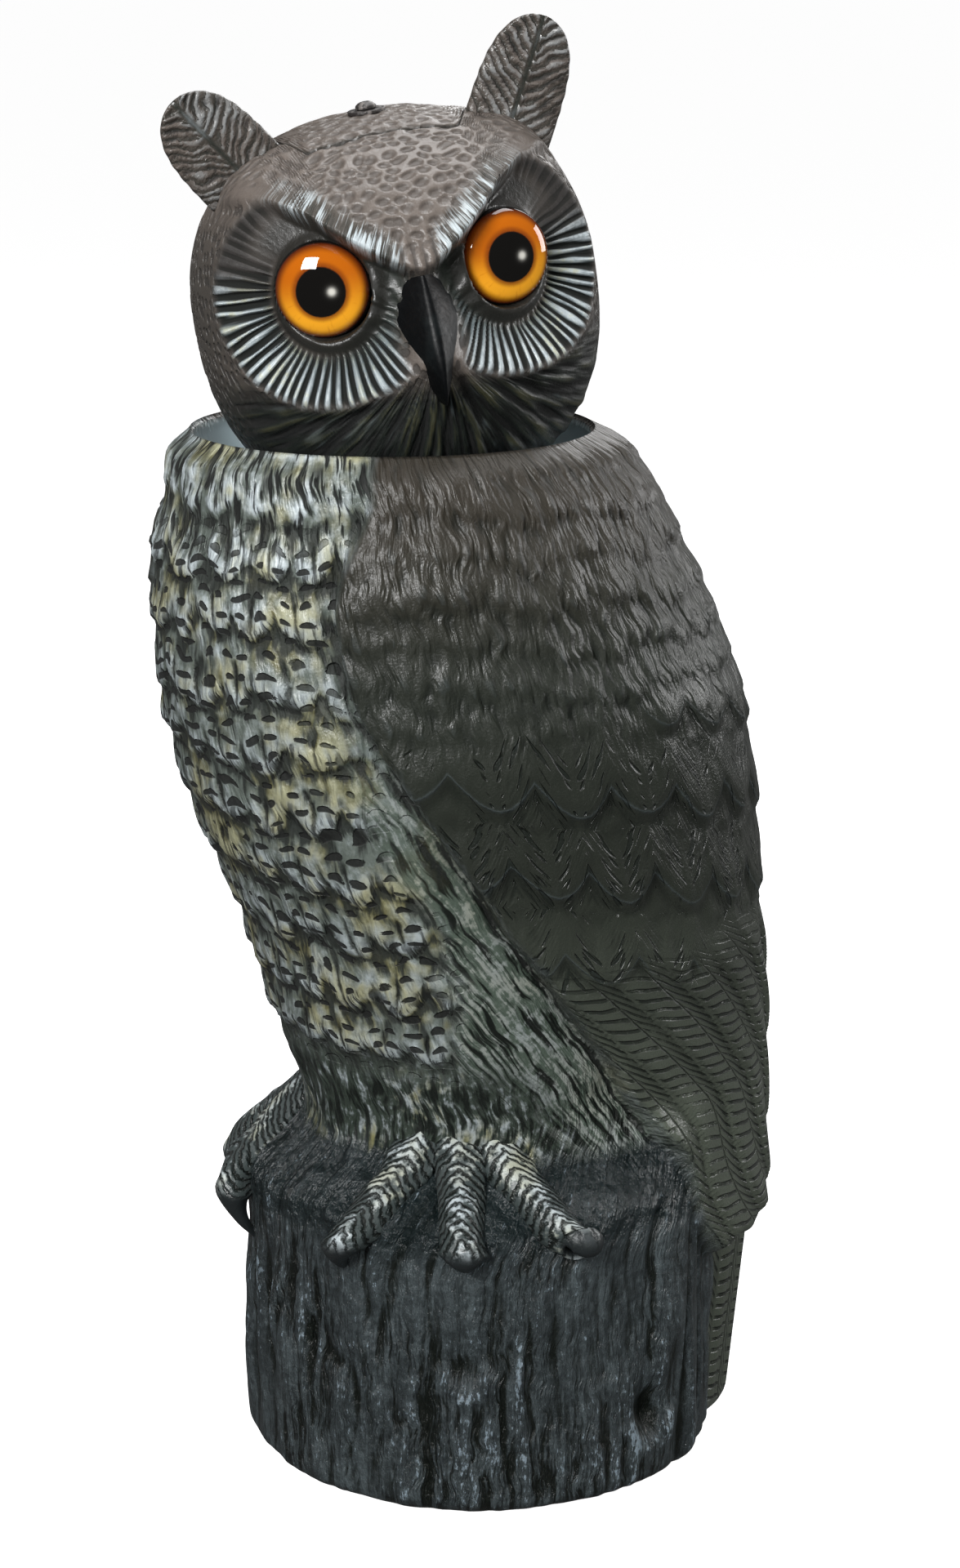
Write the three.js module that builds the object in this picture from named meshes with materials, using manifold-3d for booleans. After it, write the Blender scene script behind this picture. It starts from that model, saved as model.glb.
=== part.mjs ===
// A great horned owl decoy, moulded in one piece from the stump to the shoulders, with a separate
// head that turns on a leaning pivot. Millimetres, +Z up, the owl's breast towards -Y.
// The origin is the middle of the stump's underside.
import * as THREE from "three";
import { LoftGeometry } from "three/addons/geometries/LoftGeometry.js";
import { mergeVertices } from "three/addons/utils/BufferGeometryUtils.js";
import Module from "manifold-3d";

const wasm = await Module();
wasm.setup();

// Body
const STUMP_TOP = 120; // the front edge of the ledge that the feet stand on
const LEDGE_RISE = 28; // how much the ledge rises from there to the ankles
const ANKLE_HEIGHT = 41; // from the ledge's front edge to where the breast starts
const RIM_TOP = 437.5; // the lip of the neck opening
const HALF_WIDTH = 115;
const HALF_DEPTH = 123;
const NECK_FORWARD = 41.6; // from the stump's axis to the middle of the neck opening
const NECK_DEPTH = 38; // from the lip down to the dish's floor
const RIM_LIP = 1.5; // width of the rounded lip inside the rim's crest

// Cross-sections of the torso with folded wings: height as a share of the way from the ankles to
// the rim, centre's Y and half depth as shares of the half depth, half width of the half width
const TORSO = [
  [-0.22, 0.22, 0.774, 0.878],
  [0, 0.22, 0.765, 0.862],
  [0.105, 0.163, 0.826, 0.894],
  [0.264, 0.072, 0.914, 0.912],
  [0.467, -0.05, 0.977, 0.98],
  [0.618, -0.13, 1, 0.984],
  [0.76, -0.208, 0.943, 0.935],
  [0.817, -0.244, 0.917, 0.893],
  [0.904, -0.277, 0.855, 0.82],
  [0.948, -0.3, 0.815, 0.78],
  [0.973, -0.32, 0.783, 0.744],
];
const AXIS_START = 100; // below this height the sections are measured from the stump's axis

// Stump and tail
const STUMP_RADIUS = 100;
const BARK_DEPTH = 1.8;
const BASE_ROUND = 6; // radius of the rounded edge at the ground
const KNOTS = [
  { angle: 102, height: 33, radius: 12, depth: 5 },
  { angle: 54, height: 66, radius: 10, depth: 3 },
];
const TAIL_HALF_WIDTH = 74;
const TAIL_REACH = 119; // from the stump's axis back to the tail's outer face
const TAIL_SQUARENESS = 3.3;
const TAIL_TAPER = 0.92; // the tail's section at the ground as a share of that at the wing tips
const WING_TIP = 95; // height of the wings' lower end
const TAIL_STEP = 9; // height over which the wing tips step in to the tail

// Front edge of the folded wing: height as a share of the way from the ankles to the rim, and
// angle round the body from the breast's middle line
const WING_EDGE = [
  [-0.3, 132],
  [-0.18, 119],
  [-0.09, 105],
  [-0.02, 89],
  [0.09, 79],
  [0.21, 69],
  [0.32, 61],
  [0.5, 51],
  [0.65, 42],
  [0.74, 40],
  [0.85, 43],
  [0.95, 51],
  [1, 54],
];
const WING_SOFTNESS = 3.5; // degrees over which the wing's edge rises from the flank
const WING_LIP = 4; // how far the wing's edge stands out from the smooth body
const WING_LIP_REACH = 14; // degrees over which it sinks back
// Depth of the flank under the wing's edge, at shares of the way from the ankles to the rim
const FLANK_DEPTH = [
  [-0.08, 3],
  [0.02, 9],
  [0.18, 13],
  [0.36, 12],
  [0.54, 9],
  [0.83, 7],
  [0.97, 0],
];
const FLANK_REACH = 26; // degrees from the wing's edge to the full breast

// Feathers: width in degrees round the body; height, rise and depth of the scallops in
// millimetres and slant in millimetres down for each degree
const COVERT = { width: 16, height: 38, rise: 3, scallop: 14, slant: 0.35 };
const BREAST_FEATHER = { width: 11, height: 25, rise: 3, scallop: 8, slant: 0 };
const PRIMARY_TOP = 238;
const PRIMARY_WIDTH = 15; // degrees
const PRIMARY_SLANT = 0.5; // degrees round the body for each millimetre down
const PRIMARY_STEP = 3;
const PRIMARY_BLEND = 25; // height over which the coverts give way to the primaries
const RELIEF_FADE = 20; // height over which the relief dies out at the rim and the ankles
const LIP_FADE = 45; // height below the rim over which the wing's edge grows to its full rise

// Toes: angle round the stump, and how far the claw's tip hangs below the ledge's front edge
const TOES = [
  { angle: 24, drop: 18 },
  { angle: 54, drop: 12 },
  { angle: 82, drop: 3 },
  { angle: -18, drop: 28 },
  { angle: -46, drop: 34 },
  { angle: -80, drop: 3 },
];
const FOOT_ANGLE = 48; // middle of a foot, round the stump
// Path of a toe: height above the ledge's edge or share of the claw's drop below it, distance out
// from the stump's side, half width and half thickness
const TOE_PATH = [
  [44, -46, 7, 6],
  [32, -31, 8, 7],
  [20, -19, 9, 8],
  [12, -11, 9.5, 8.5],
  [3, 0.5, 9.5, 8.5],
  [-0.12, 5.5, 9, 8.5],
  [-0.37, 7, 8.5, 7],
  [-0.68, 4.5, 5.5, 4],
  [-1, -1.5, 1.2, 1.2],
];
const TOE_FAN = 0.8; // how far the roots of a foot's toes draw together
const TOE_SIDES = 8;

// Head pivot: it leans forward, and the head is turned to the owl's left
const HEAD_SEAT = 52.5; // from the rim up to the head's centre
const HEAD_SETBACK = 1.6; // from the middle of the neck opening back to the head's centre
const HEAD_LEAN = THREE.MathUtils.degToRad(10);
const HEAD_TURN = THREE.MathUtils.degToRad(68);

// Head, measured from its centre along the pivot
const HEAD_RADIUS = 79.8;
const CROWN_HEIGHT = 71;
const CROWN_ROUNDNESS = 2.3;
const JAW_ROUNDNESS = 2.5;
const NECK_GAP = 11.8; // gap between the head and the lip

// Eyes
const EYE_PLACE = [37, -64, 18]; // crown of the left eye's dome
const EYE_SPLAY = THREE.MathUtils.degToRad(15);
const EYE_TILT = THREE.MathUtils.degToRad(3);
const EYE_RADIUS = 18.5;
const EYE_DOME = 8;
const EYE_PLUG = 5;

// Face, in degrees round the eye's direction and in millimetres
const DISC_RADIUS = 31;
const DISC_STRETCH = 5; // the disc is this much wider towards the beak and narrower outwards
const DISC_DEPTH = 10;
const LID_RADIUS = 15.5;
const LID_WIDTH = 3.2;
const LID_RISE = 3;
const DISC_RIM_RISE = 2;
const DISC_RIM_WIDTH = 3;
// Lower margin of the brow: degrees from the face's middle line, latitude in degrees
const BROW = [
  [0, 14.5],
  [5, 16.7],
  [11, 20.2],
  [20, 25.8],
  [32, 33],
  [49, 38],
  [66, 37],
  [90, 34],
];
const BROW_EDGE = 1.6; // degrees over which the brow drops to the disc
const BROW_RISE = 4;
const BROW_FADE = 14; // degrees over which the brow's ridge runs out into the forehead
const BROW_ENDS = [58, 80]; // degrees from the middle line between which the ridge dies out
const FACE_ENDS = [75, 105]; // degrees between which the face's relief dies out
const MUZZLE = { rise: 5, halfWidth: 9, latitude: -4, halfHeight: 16 }; // angles in degrees

// Ear tufts
const EAR_BASE = [50, -12, 54];
const LEFT_EAR_TIP = [71.5, -15, 98];
const RIGHT_EAR_TIP = [-75, -15, 90];
const EAR_HALF_WIDTH = 18;
const EAR_THICKNESS = 15;
const EAR_TIP_THICKNESS = 6;
const EAR_HOLLOW = 0.55; // depth of the hollow in an ear's front as a share of half its thickness
const EAR_MOUND = 5;
const EAR_MOUND_SPREAD = 0.03;
const EAR_SIDES = 14;

// Beak: height above the head's centre, ridge's distance forward, half width
const BEAK = [
  [25, 76, 2.2],
  [18, 80, 5.5],
  [8, 86, 8.6],
  [-3, 91, 10],
  [-13, 93.5, 8.4],
  [-21, 93, 5],
  [-27.5, 90, 1.2],
];
const BEAK_ROOT = 66;
const BEAK_KEEL = 1.4; // over 1 draws the ridge to a keel
const BEAK_SIDES = 14;

// Seam between the face shell and the rear shell
const SEAM_CROWN_Y = -31;
const SEAM_SIDE_Y = 9;
const SEAM_CROWN_HALF_WIDTH = 28;
const SEAM_EAR_HALF_WIDTH = 44;
const SEAM_SHOULDER = [34, 60]; // heights between which the seam leaves the side for the crown

// Pivot
const SHANK_RADIUS = 2.2;
const SCREW_HEAD_RADIUS = 4.1;
const SCREW_HEAD_HEIGHT = 2.6;
const WASHER_RADIUS = 7.4;
const WASHER_THICKNESS = 1.3;
const SCREW_DEPTH = 18; // length of the shank inside the pivot boss
const BOSS_RADIUS = 13;
const BOSS_HEIGHT = 11; // from the dish's floor to the boss's top at the pivot
const CLEARANCE = 0.3;

// Fineness of the surfaces
const BODY_COLUMNS = 60;
const HEAD_COLUMNS = 42;
const TOP_LATITUDE = 84; // degrees, of the smallest ring at the crown and the jaw
const BREAST_COLUMNS = 10; // columns on one side between the middle line and the wing's edge
const FRONT_CROWDING = 0.45;

const { degToRad, radToDeg, lerp } = THREE.MathUtils;

function ease(low, high, value) {
  const t = Math.min(1, Math.max(0, (value - low) / (high - low)));
  return t * t * (3 - 2 * t);
}

// Value number `column` of a list of stations, between the two stations nearest to `at`
function along(stations, at, column = 1) {
  const rising = stations[0][0] < stations.at(-1)[0] ? stations : [...stations].reverse();
  if (at <= rising[0][0]) return rising[0][column];
  const i = rising.findIndex((station) => station[0] >= at);
  if (i < 0) return rising.at(-1)[column];
  const [below, above] = [rising[i - 1], rising[i]];
  return lerp(below[column], above[column], (at - below[0]) / (above[0] - below[0]));
}

function smoothMax(a, b, blend) {
  const h = Math.max(0, blend - Math.abs(a - b)) / blend;
  return Math.max(a, b) + (h * h * blend) / 4;
}

// Distance from a point to an ellipse whose centre lies `offset` behind it, in the given direction
function ellipseReach(angle, halfWidth, halfDepth, offset) {
  const s = Math.sin(angle);
  const c = Math.cos(angle);
  const a = (s / halfWidth) ** 2 + (c / halfDepth) ** 2;
  const b = (c * offset) / halfDepth ** 2;
  const k = (offset / halfDepth) ** 2 - 1;
  return (-b + Math.sqrt(b * b - a * k)) / a;
}

// Plain head: a flattened ball of revolution about the pivot, by its latitude
function plainHeadReach(latitude) {
  const up = latitude > 0;
  const power = up ? CROWN_ROUNDNESS : JAW_ROUNDNESS;
  const level = Math.cos(latitude) / HEAD_RADIUS;
  const upright = Math.abs(Math.sin(latitude)) / (up ? CROWN_HEIGHT : JAW_DEPTH);
  return (level ** power + upright ** power) ** (-1 / power);
}

const LEG_TOP = STUMP_TOP + ANKLE_HEIGHT;
const DISH_FLOOR = RIM_TOP - NECK_DEPTH;
const HEAD_CENTRE = [0, HEAD_SETBACK - NECK_FORWARD, RIM_TOP + HEAD_SEAT];
// The head stands on the boss, so its underside follows the dish's floor
const JAW_DEPTH = (HEAD_SEAT + NECK_DEPTH - BOSS_HEIGHT) / Math.cos(HEAD_LEAN) - CLEARANCE;
const HEAD_AT_RIM = HEAD_RADIUS * (1 - (HEAD_SEAT / JAW_DEPTH) ** JAW_ROUNDNESS) ** (1 / JAW_ROUNDNESS);
const NECK_RADIUS = HEAD_AT_RIM + NECK_GAP;
const CREST_RADIUS = NECK_RADIUS + RIM_LIP;

const torsoHeight = (share) => lerp(LEG_TOP, RIM_TOP, share);
const SECTIONS = [
  ...TORSO.map(([share, centre, width, depth]) => [
    torsoHeight(share),
    centre * HALF_DEPTH,
    width * HALF_WIDTH,
    depth * HALF_DEPTH,
  ]),
  [RIM_TOP, -NECK_FORWARD, CREST_RADIUS, CREST_RADIUS],
];
const EDGE = WING_EDGE.map(([share, angle]) => [torsoHeight(share), angle]);
const FLANK = FLANK_DEPTH.map(([share, depth]) => [torsoHeight(share), depth]);

// Y of the line from which the body's sections are measured
function bodyAxis(z) {
  if (z < AXIS_START) return 0;
  return z < LEG_TOP
    ? lerp(0, along(SECTIONS, LEG_TOP), ease(AXIS_START, LEG_TOP, z))
    : along(SECTIONS, z);
}

// A row of overlapping feathers: rises slowly to the free end, then drops
function shingle(position) {
  const t = position - Math.floor(position);
  return t < 0.8 ? ease(0, 0.8, t) : 1 - ease(0.8, 1, t);
}

// Uneven upright ridges with the hollows of the knots; the height of the rounded edge at the
// ground takes the surface inwards
function barkRelief(angle, z) {
  const ridges = (Math.sin(13 * angle + 0.02 * z) + 0.7 * Math.sin(21 * angle + 1.3)) / 1.7;
  const dips = KNOTS.map((knot) => {
    const across = (angle - degToRad(knot.angle)) * STUMP_RADIUS;
    const away = Math.hypot(across, z - knot.height) / knot.radius;
    return knot.depth * Math.exp(-away * away);
  });
  return BARK_DEPTH * ridges - Math.max(...dips);
}

function baseInset(z) {
  const below = Math.max(0, BASE_ROUND - z);
  return BASE_ROUND - Math.sqrt(BASE_ROUND ** 2 - below ** 2);
}

// Staggered rows of rounded feathers, each row's free ends scalloped
function plumage(degrees, z, { width, height, rise, scallop, slant }) {
  const flat = (RIM_TOP - z - slant * degrees) / height;
  const stagger = (Math.floor(flat) % 2) / 2;
  const across = Math.abs(Math.cos(Math.PI * (degrees / width + stagger)));
  return rise * lerp(0.3, 1, across) * shingle(flat + (scallop * (1 - across)) / height);
}

function breastRelief(degrees, z) {
  const grown = ease(LEG_TOP - 6, LEG_TOP + RELIEF_FADE, z) * ease(RIM_TOP, RIM_TOP - RELIEF_FADE, z);
  return grown * (plumage(degrees, z, BREAST_FEATHER) - BREAST_FEATHER.rise);
}

function covertRelief(degrees, z) {
  return plumage(degrees, z, COVERT);
}

function primaryRelief(degrees, z) {
  const across = (degrees - PRIMARY_SLANT * (PRIMARY_TOP - z)) / PRIMARY_WIDTH;
  return PRIMARY_STEP * shingle(-across);
}

function wingRelief(degrees, z) {
  const lower = ease(PRIMARY_TOP, PRIMARY_TOP - PRIMARY_BLEND, z);
  const fade = ease(RIM_TOP, RIM_TOP - RELIEF_FADE, z);
  return fade * lerp(covertRelief(degrees, z), primaryRelief(degrees, z), lower);
}

// Outer surface of the body without the toes: distance from its axis at an angle from the
// breast's middle line
function bodyReach(angle, z) {
  const degrees = Math.abs(radToDeg(angle));
  const axis = bodyAxis(z);
  const edge = along(EDGE, z);
  const behind = ease(edge - WING_SOFTNESS, edge + WING_SOFTNESS, degrees);
  const [centre, halfWidth, halfDepth] = [1, 2, 3].map((column) => along(SECTIONS, z, column));
  const torso = ellipseReach(angle, halfWidth, halfDepth, centre - axis);
  const stump = ellipseReach(angle, STUMP_RADIUS, STUMP_RADIUS, -axis) + barkRelief(angle, z);

  const fromEdge = Math.max(0, 1 - (edge - degrees) / FLANK_REACH);
  const flank = along(FLANK, z) * Math.min(1, fromEdge) ** 2;
  const breast = torso - flank + breastRelief(degrees, z);
  const front = lerp(stump, breast, ease(STUMP_TOP, STUMP_TOP + LEDGE_RISE, z));

  const squared =
    (Math.abs(Math.sin(angle)) / TAIL_HALF_WIDTH) ** TAIL_SQUARENESS +
    (Math.abs(Math.cos(angle)) / TAIL_REACH) ** TAIL_SQUARENESS;
  const taper = lerp(TAIL_TAPER, 1, Math.min(1, z / WING_TIP));
  const tail = Math.max(stump, taper * squared ** (-1 / TAIL_SQUARENESS));
  const overStump = z < LEG_TOP ? smoothMax(torso, stump, 6) : torso;
  const lip = WING_LIP * Math.exp((edge - degrees) / WING_LIP_REACH);
  const wing = overStump + wingRelief(degrees, z) + lip * ease(RIM_TOP, RIM_TOP - LIP_FADE, z);
  const back = lerp(tail, wing, ease(WING_TIP - TAIL_STEP, WING_TIP, z));
  return lerp(front, back, behind) - baseInset(z);
}

// Angles of the columns, crowded towards the front
function columnAngles(count, crowding) {
  return Array.from({ length: count }, (_, i) => {
    const t = -Math.PI + (2 * Math.PI * i) / count;
    return t - crowding * Math.sin(t);
  });
}

function evenly(from, to, steps) {
  return Array.from({ length: steps + 1 }, (_, i) => lerp(from, to, i / steps));
}

function toSolid(geometry) {
  const bare = new THREE.BufferGeometry()
    .setAttribute("position", geometry.getAttribute("position"))
    .setIndex(geometry.getIndex());
  const merged = mergeVertices(bare, 1e-4);
  return new wasm.Manifold(
    new wasm.Mesh({
      numProp: 3,
      vertProperties: new Float32Array(merged.attributes.position.array),
      triVerts: new Uint32Array(merged.index.array),
    }),
  );
}

function toGeometry(solid) {
  const { vertProperties, triVerts } = solid.getMesh();
  return new THREE.BufferGeometry()
    .setAttribute("position", new THREE.BufferAttribute(vertProperties, 3))
    .setIndex(new THREE.BufferAttribute(triVerts, 1));
}

function loft(sections) {
  return new LoftGeometry(sections, { closed: true, capStart: true, capEnd: true });
}

// Angle of a column at a height: level with its neighbours on the stump, and above the feet
// spaced so that one column runs along the wing's front edge
function bodyColumn(angle, z) {
  const degrees = Math.abs(radToDeg(angle));
  const edge = along(EDGE, z);
  const index = (Math.abs(angle) * BODY_COLUMNS) / (2 * Math.PI);
  const lip = edge - WING_SOFTNESS;
  const behind = (index - BREAST_COLUMNS) / (BODY_COLUMNS / 2 - BREAST_COLUMNS);
  const spaced =
    index <= BREAST_COLUMNS - 1
      ? (lip * index) / (BREAST_COLUMNS - 1)
      : lerp(edge + WING_SOFTNESS, 180, Math.max(0, behind));
  return Math.sign(angle) * degToRad(lerp(degrees, spaced, ease(LEG_TOP - 15, LEG_TOP + 30, z)));
}

// Body from the ground up to the crest of the rim
function bodyShell() {
  const angles = columnAngles(BODY_COLUMNS, 0);
  const heights = [
    0,
    0.3 * BASE_ROUND,
    ...evenly(BASE_ROUND, WING_TIP - TAIL_STEP, 3),
    ...evenly(WING_TIP, STUMP_TOP, 2),
    ...evenly(STUMP_TOP + 7, LEG_TOP - 6, 4),
    LEG_TOP,
    ...evenly(LEG_TOP + 9, RIM_TOP - RELIEF_FADE, 18),
    RIM_TOP - 0.5 * RELIEF_FADE,
    RIM_TOP - 0.2 * RELIEF_FADE,
  ];
  const sections = heights.map((z) =>
    angles.map((column) => {
      const a = bodyColumn(column, z);
      const reach = bodyReach(a, z);
      return new THREE.Vector3(reach * Math.sin(a), bodyAxis(z) - reach * Math.cos(a), z);
    }),
  );
  sections.push(
    angles.map((column) => {
      const a = bodyColumn(column, RIM_TOP);
      const [x, y] = [CREST_RADIUS * Math.sin(a), -NECK_FORWARD - CREST_RADIUS * Math.cos(a)];
      return new THREE.Vector3(x, y, RIM_TOP);
    }),
  );
  return loft(sections);
}

// The hollow that the head's underside sits in, level and round, from shares of its width and depth
function neckDish() {
  const wall = [
    [0, DISH_FLOOR],
    [0.68 * NECK_RADIUS, DISH_FLOOR],
    [0.89 * NECK_RADIUS, DISH_FLOOR + 0.45 * NECK_DEPTH],
    [NECK_RADIUS, RIM_TOP - RIM_LIP],
    [NECK_RADIUS + 0.6 * RIM_LIP, RIM_TOP],
    [NECK_RADIUS + 0.6 * RIM_LIP, RIM_TOP + RIM_LIP],
    [0, RIM_TOP + RIM_LIP],
  ];
  return turned(wall, 40).translate(0, -NECK_FORWARD, 0);
}

// A toe with its claw: elliptical sections along a path that bends over the ledge
function toe({ angle, drop }) {
  const foot = Math.sign(angle) * FOOT_ANGLE;
  const points = TOE_PATH.map(([up, out]) => {
    return new THREE.Vector2(STUMP_RADIUS + out, STUMP_TOP + (up < 0 ? up * drop : up));
  });
  const last = points.length - 1;
  const sections = points.map((point, i) => {
    const onward = points[Math.min(i + 1, last)].clone().sub(points[Math.max(i - 1, 0)]).normalize();
    const root = 1 - i / last;
    const bearing = degToRad(lerp(angle, foot, TOE_FAN * root * root));
    const [s, c] = [Math.sin(bearing), Math.cos(bearing)];
    return evenly(0, 2 * Math.PI, TOE_SIDES)
      .slice(0, TOE_SIDES)
      .map((t) => {
        const sideways = TOE_PATH[i][2] * Math.cos(t);
        const lifted = TOE_PATH[i][3] * Math.sin(t);
        const out = point.x - lifted * onward.y;
        const up = point.y + lifted * onward.x;
        return new THREE.Vector3(out * s + sideways * c, sideways * s - out * c, up);
      });
  });
  return loft(sections);
}

// Unit vector from the head's centre, at an angle from the face's middle line and a latitude
function direction(angle, latitude) {
  return new THREE.Vector3(
    Math.sin(angle) * Math.cos(latitude),
    -Math.cos(angle) * Math.cos(latitude),
    Math.sin(latitude),
  );
}

const EYE_DIRECTION = new THREE.Vector3(...EYE_PLACE).normalize();
const EYE_INWARD = new THREE.Vector3(0, 0, 1).cross(EYE_DIRECTION).negate().normalize();
const EYE_DOWNWARD = EYE_DIRECTION.clone().cross(EYE_INWARD).normalize();

// Hollow facial disc round the eye, with a raised lid and a raised outer rim
function discRelief(u) {
  const fromEye = radToDeg(Math.acos(Math.min(1, u.dot(EYE_DIRECTION))));
  const bearing = Math.atan2(u.dot(EYE_DOWNWARD), u.dot(EYE_INWARD));
  const edge = DISC_RADIUS + DISC_STRETCH * Math.cos(bearing);
  const hollow = -DISC_DEPTH * (1 - ease(LID_RADIUS + 2, edge, fromEye));
  const lid = LID_RISE * Math.exp(-(((fromEye - LID_RADIUS) / LID_WIDTH) ** 2));
  const rim = DISC_RIM_RISE * Math.exp(-(((fromEye - edge) / DISC_RIM_WIDTH) ** 2));
  return hollow + lid + rim;
}

// Relief of the whole head on top of the plain ball; u.x is taken on one side only
function headRelief(u) {
  const side = new THREE.Vector3(Math.abs(u.x), u.y, u.z);
  const bearing = radToDeg(Math.atan2(side.x, -side.y));
  const latitude = radToDeg(Math.asin(side.z));
  const above = latitude - along(BROW, bearing);
  const ridge = Math.exp(-Math.max(0, above) / BROW_FADE) * ease(BROW_ENDS[1], BROW_ENDS[0], bearing);
  const face = lerp(discRelief(side), BROW_RISE * ridge, ease(-BROW_EDGE, BROW_EDGE, above));
  const fromMuzzle = Math.hypot(
    bearing / MUZZLE.halfWidth,
    (latitude - MUZZLE.latitude) / MUZZLE.halfHeight,
  );
  const muzzle = MUZZLE.rise * Math.exp(-fromMuzzle * fromMuzzle);
  const base = new THREE.Vector3(...EAR_BASE).normalize();
  const mound = EAR_MOUND * Math.exp((side.dot(base) - 1) / EAR_MOUND_SPREAD);
  return ease(FACE_ENDS[1], FACE_ENDS[0], bearing) * (face + muzzle) + mound;
}

function headPoint(angle, latitude) {
  const u = direction(angle, latitude);
  return u.clone().multiplyScalar(plainHeadReach(latitude) + headRelief(u));
}

// Rows run level at the crown and the jaw, and follow the brow between them
function headBall() {
  const angles = columnAngles(HEAD_COLUMNS, FRONT_CROWDING);
  const rows = [...evenly(-1, -0.55, 2), ...evenly(-0.47, 0, 10), ...evenly(0, 1, 6)];
  const step = [-BROW_EDGE, BROW_EDGE];
  return loft(
    rows.map((row, i) =>
      angles.map((a) => {
        const upper = i > rows.indexOf(0);
        const brow = along(BROW, radToDeg(Math.abs(a))) + step[upper ? 1 : 0];
        const latitude = lerp(brow, upper ? TOP_LATITUDE : -TOP_LATITUDE, Math.abs(row));
        return headPoint(a, degToRad(latitude));
      }),
    ),
  );
}

// Ear tuft: a rounded leaf, thick at its root, with a hollow along the front
function ear(tipPlace) {
  const tip = new THREE.Vector3(...tipPlace);
  const side = Math.sign(tip.x);
  const base = new THREE.Vector3(side * EAR_BASE[0], EAR_BASE[1], EAR_BASE[2]);
  const axis = tip.clone().sub(base);
  const outward = new THREE.Vector3(axis.z, 0, -axis.x).normalize();
  const backward = axis.clone().cross(outward).normalize();
  const sections = [-0.25, 0.1, 0.4, 0.65, 0.82, 0.93, 0.985].map((s) => {
    const halfWidth = EAR_HALF_WIDTH * Math.sqrt(1 - Math.max(0, s) ** 4);
    const half = lerp(EAR_THICKNESS, EAR_TIP_THICKNESS, Math.max(0, s)) / 2;
    return evenly(0, 2 * Math.PI, EAR_SIDES)
      .slice(0, EAR_SIDES)
      .map((t) => {
        const across = Math.cos(t);
        const hollow = Math.sin(t) < 0 ? 1 - EAR_HOLLOW * (1 - across * across) : 1;
        return base
          .clone()
          .addScaledVector(axis, s)
          .addScaledVector(outward, halfWidth * across)
          .addScaledVector(backward, half * Math.sin(t) * hollow);
      });
  });
  return loft(sections);
}

// Beak: a keel that stands out from the face and hooks down to its tip
function beak() {
  const sections = BEAK.map(([z, ridge, halfWidth]) =>
    evenly(0, 2 * Math.PI, BEAK_SIDES)
      .slice(0, BEAK_SIDES)
      .map((t) => {
        const forward = Math.max(0, -Math.sin(t + Math.PI));
        const y = lerp(BEAK_ROOT, ridge, forward ** BEAK_KEEL);
        return new THREE.Vector3(halfWidth * Math.cos(t), -y, z);
      }),
  );
  return loft(sections);
}

// The part of space in front of the seam, grown or shrunk by `shift` towards the back
function seamCutter(shift) {
  const far = 2 * HEAD_RADIUS;
  const ear = SEAM_EAR_HALF_WIDTH;
  const sections = [-far, ...evenly(-ear, ear, 10), far].map((x) => {
    const overCrown = 1 - ease(SEAM_CROWN_HALF_WIDTH, SEAM_EAR_HALF_WIDTH, Math.abs(x));
    const edge = [-far, ...evenly(...SEAM_SHOULDER, 4), far].map((z) => {
      const y = lerp(SEAM_SIDE_Y, SEAM_CROWN_Y, overCrown * ease(...SEAM_SHOULDER, z));
      return new THREE.Vector3(x, y + shift, z);
    });
    return [new THREE.Vector3(x, -far, -far), ...edge, new THREE.Vector3(x, -far, far)];
  });
  return loft(sections);
}

// A solid of revolution about Z from radius and height pairs
function turned(profile, segments) {
  const points = profile.map(([r, z]) => new THREE.Vector2(r, z));
  return new THREE.LatheGeometry(points, segments).rotateX(Math.PI / 2);
}

function rod(radius, from, to, segments = 20) {
  return turned([[0, from], [radius, from], [radius, to], [0, to]], segments);
}

// The glass-like eye, a dome on a short plug, with its crown at the origin and looking along +Z
function eyeProfile(grow, front) {
  const r = EYE_RADIUS + grow;
  const dome = evenly(0, 1, 4).map((t) => [
    r * Math.cos((t * Math.PI) / 2),
    -EYE_DOME + EYE_DOME * Math.sin((t * Math.PI) / 2),
  ]);
  const back = -EYE_DOME - EYE_PLUG - grow;
  return front ? [[0, back], [r, back], [r, front], [0, front]] : [[0, back], [r, back], ...dome];
}

function placeEye(object, side) {
  object.position.set(side * EYE_PLACE[0], EYE_PLACE[1], EYE_PLACE[2]);
  object.rotation.set(Math.PI / 2 - EYE_TILT, side * EYE_SPLAY, 0, "ZXY");
  object.updateMatrix();
  return object;
}

function material(color, roughness) {
  return new THREE.MeshStandardMaterial({ color, roughness, metalness: 0 });
}

function mesh(name, geometry, color, roughness) {
  const made = new THREE.Mesh(geometry, material(color, roughness));
  made.name = name;
  return made;
}

const pivot = new THREE.Matrix4().compose(
  new THREE.Vector3(...HEAD_CENTRE),
  new THREE.Quaternion().setFromEuler(new THREE.Euler(HEAD_LEAN, 0, HEAD_TURN)),
  new THREE.Vector3(1, 1, 1),
);
const bossTop = -JAW_DEPTH - CLEARANCE;
const crownSeat = CROWN_HEIGHT + CLEARANCE;
const screwSeat = crownSeat + WASHER_THICKNESS + CLEARANCE;

function body() {
  const boss = rod(BOSS_RADIUS, bossTop - 2 * BOSS_HEIGHT, bossTop, 20).applyMatrix4(pivot);
  const hole = rod(SHANK_RADIUS + CLEARANCE, bossTop - SCREW_DEPTH - CLEARANCE, bossTop + BOSS_HEIGHT);
  let solid = toSolid(bodyShell()).subtract(toSolid(neckDish())).add(toSolid(boss));
  for (const place of TOES) {
    solid = solid.add(toSolid(toe(place)));
  }
  return solid.subtract(toSolid(hole.applyMatrix4(pivot)));
}

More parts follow.
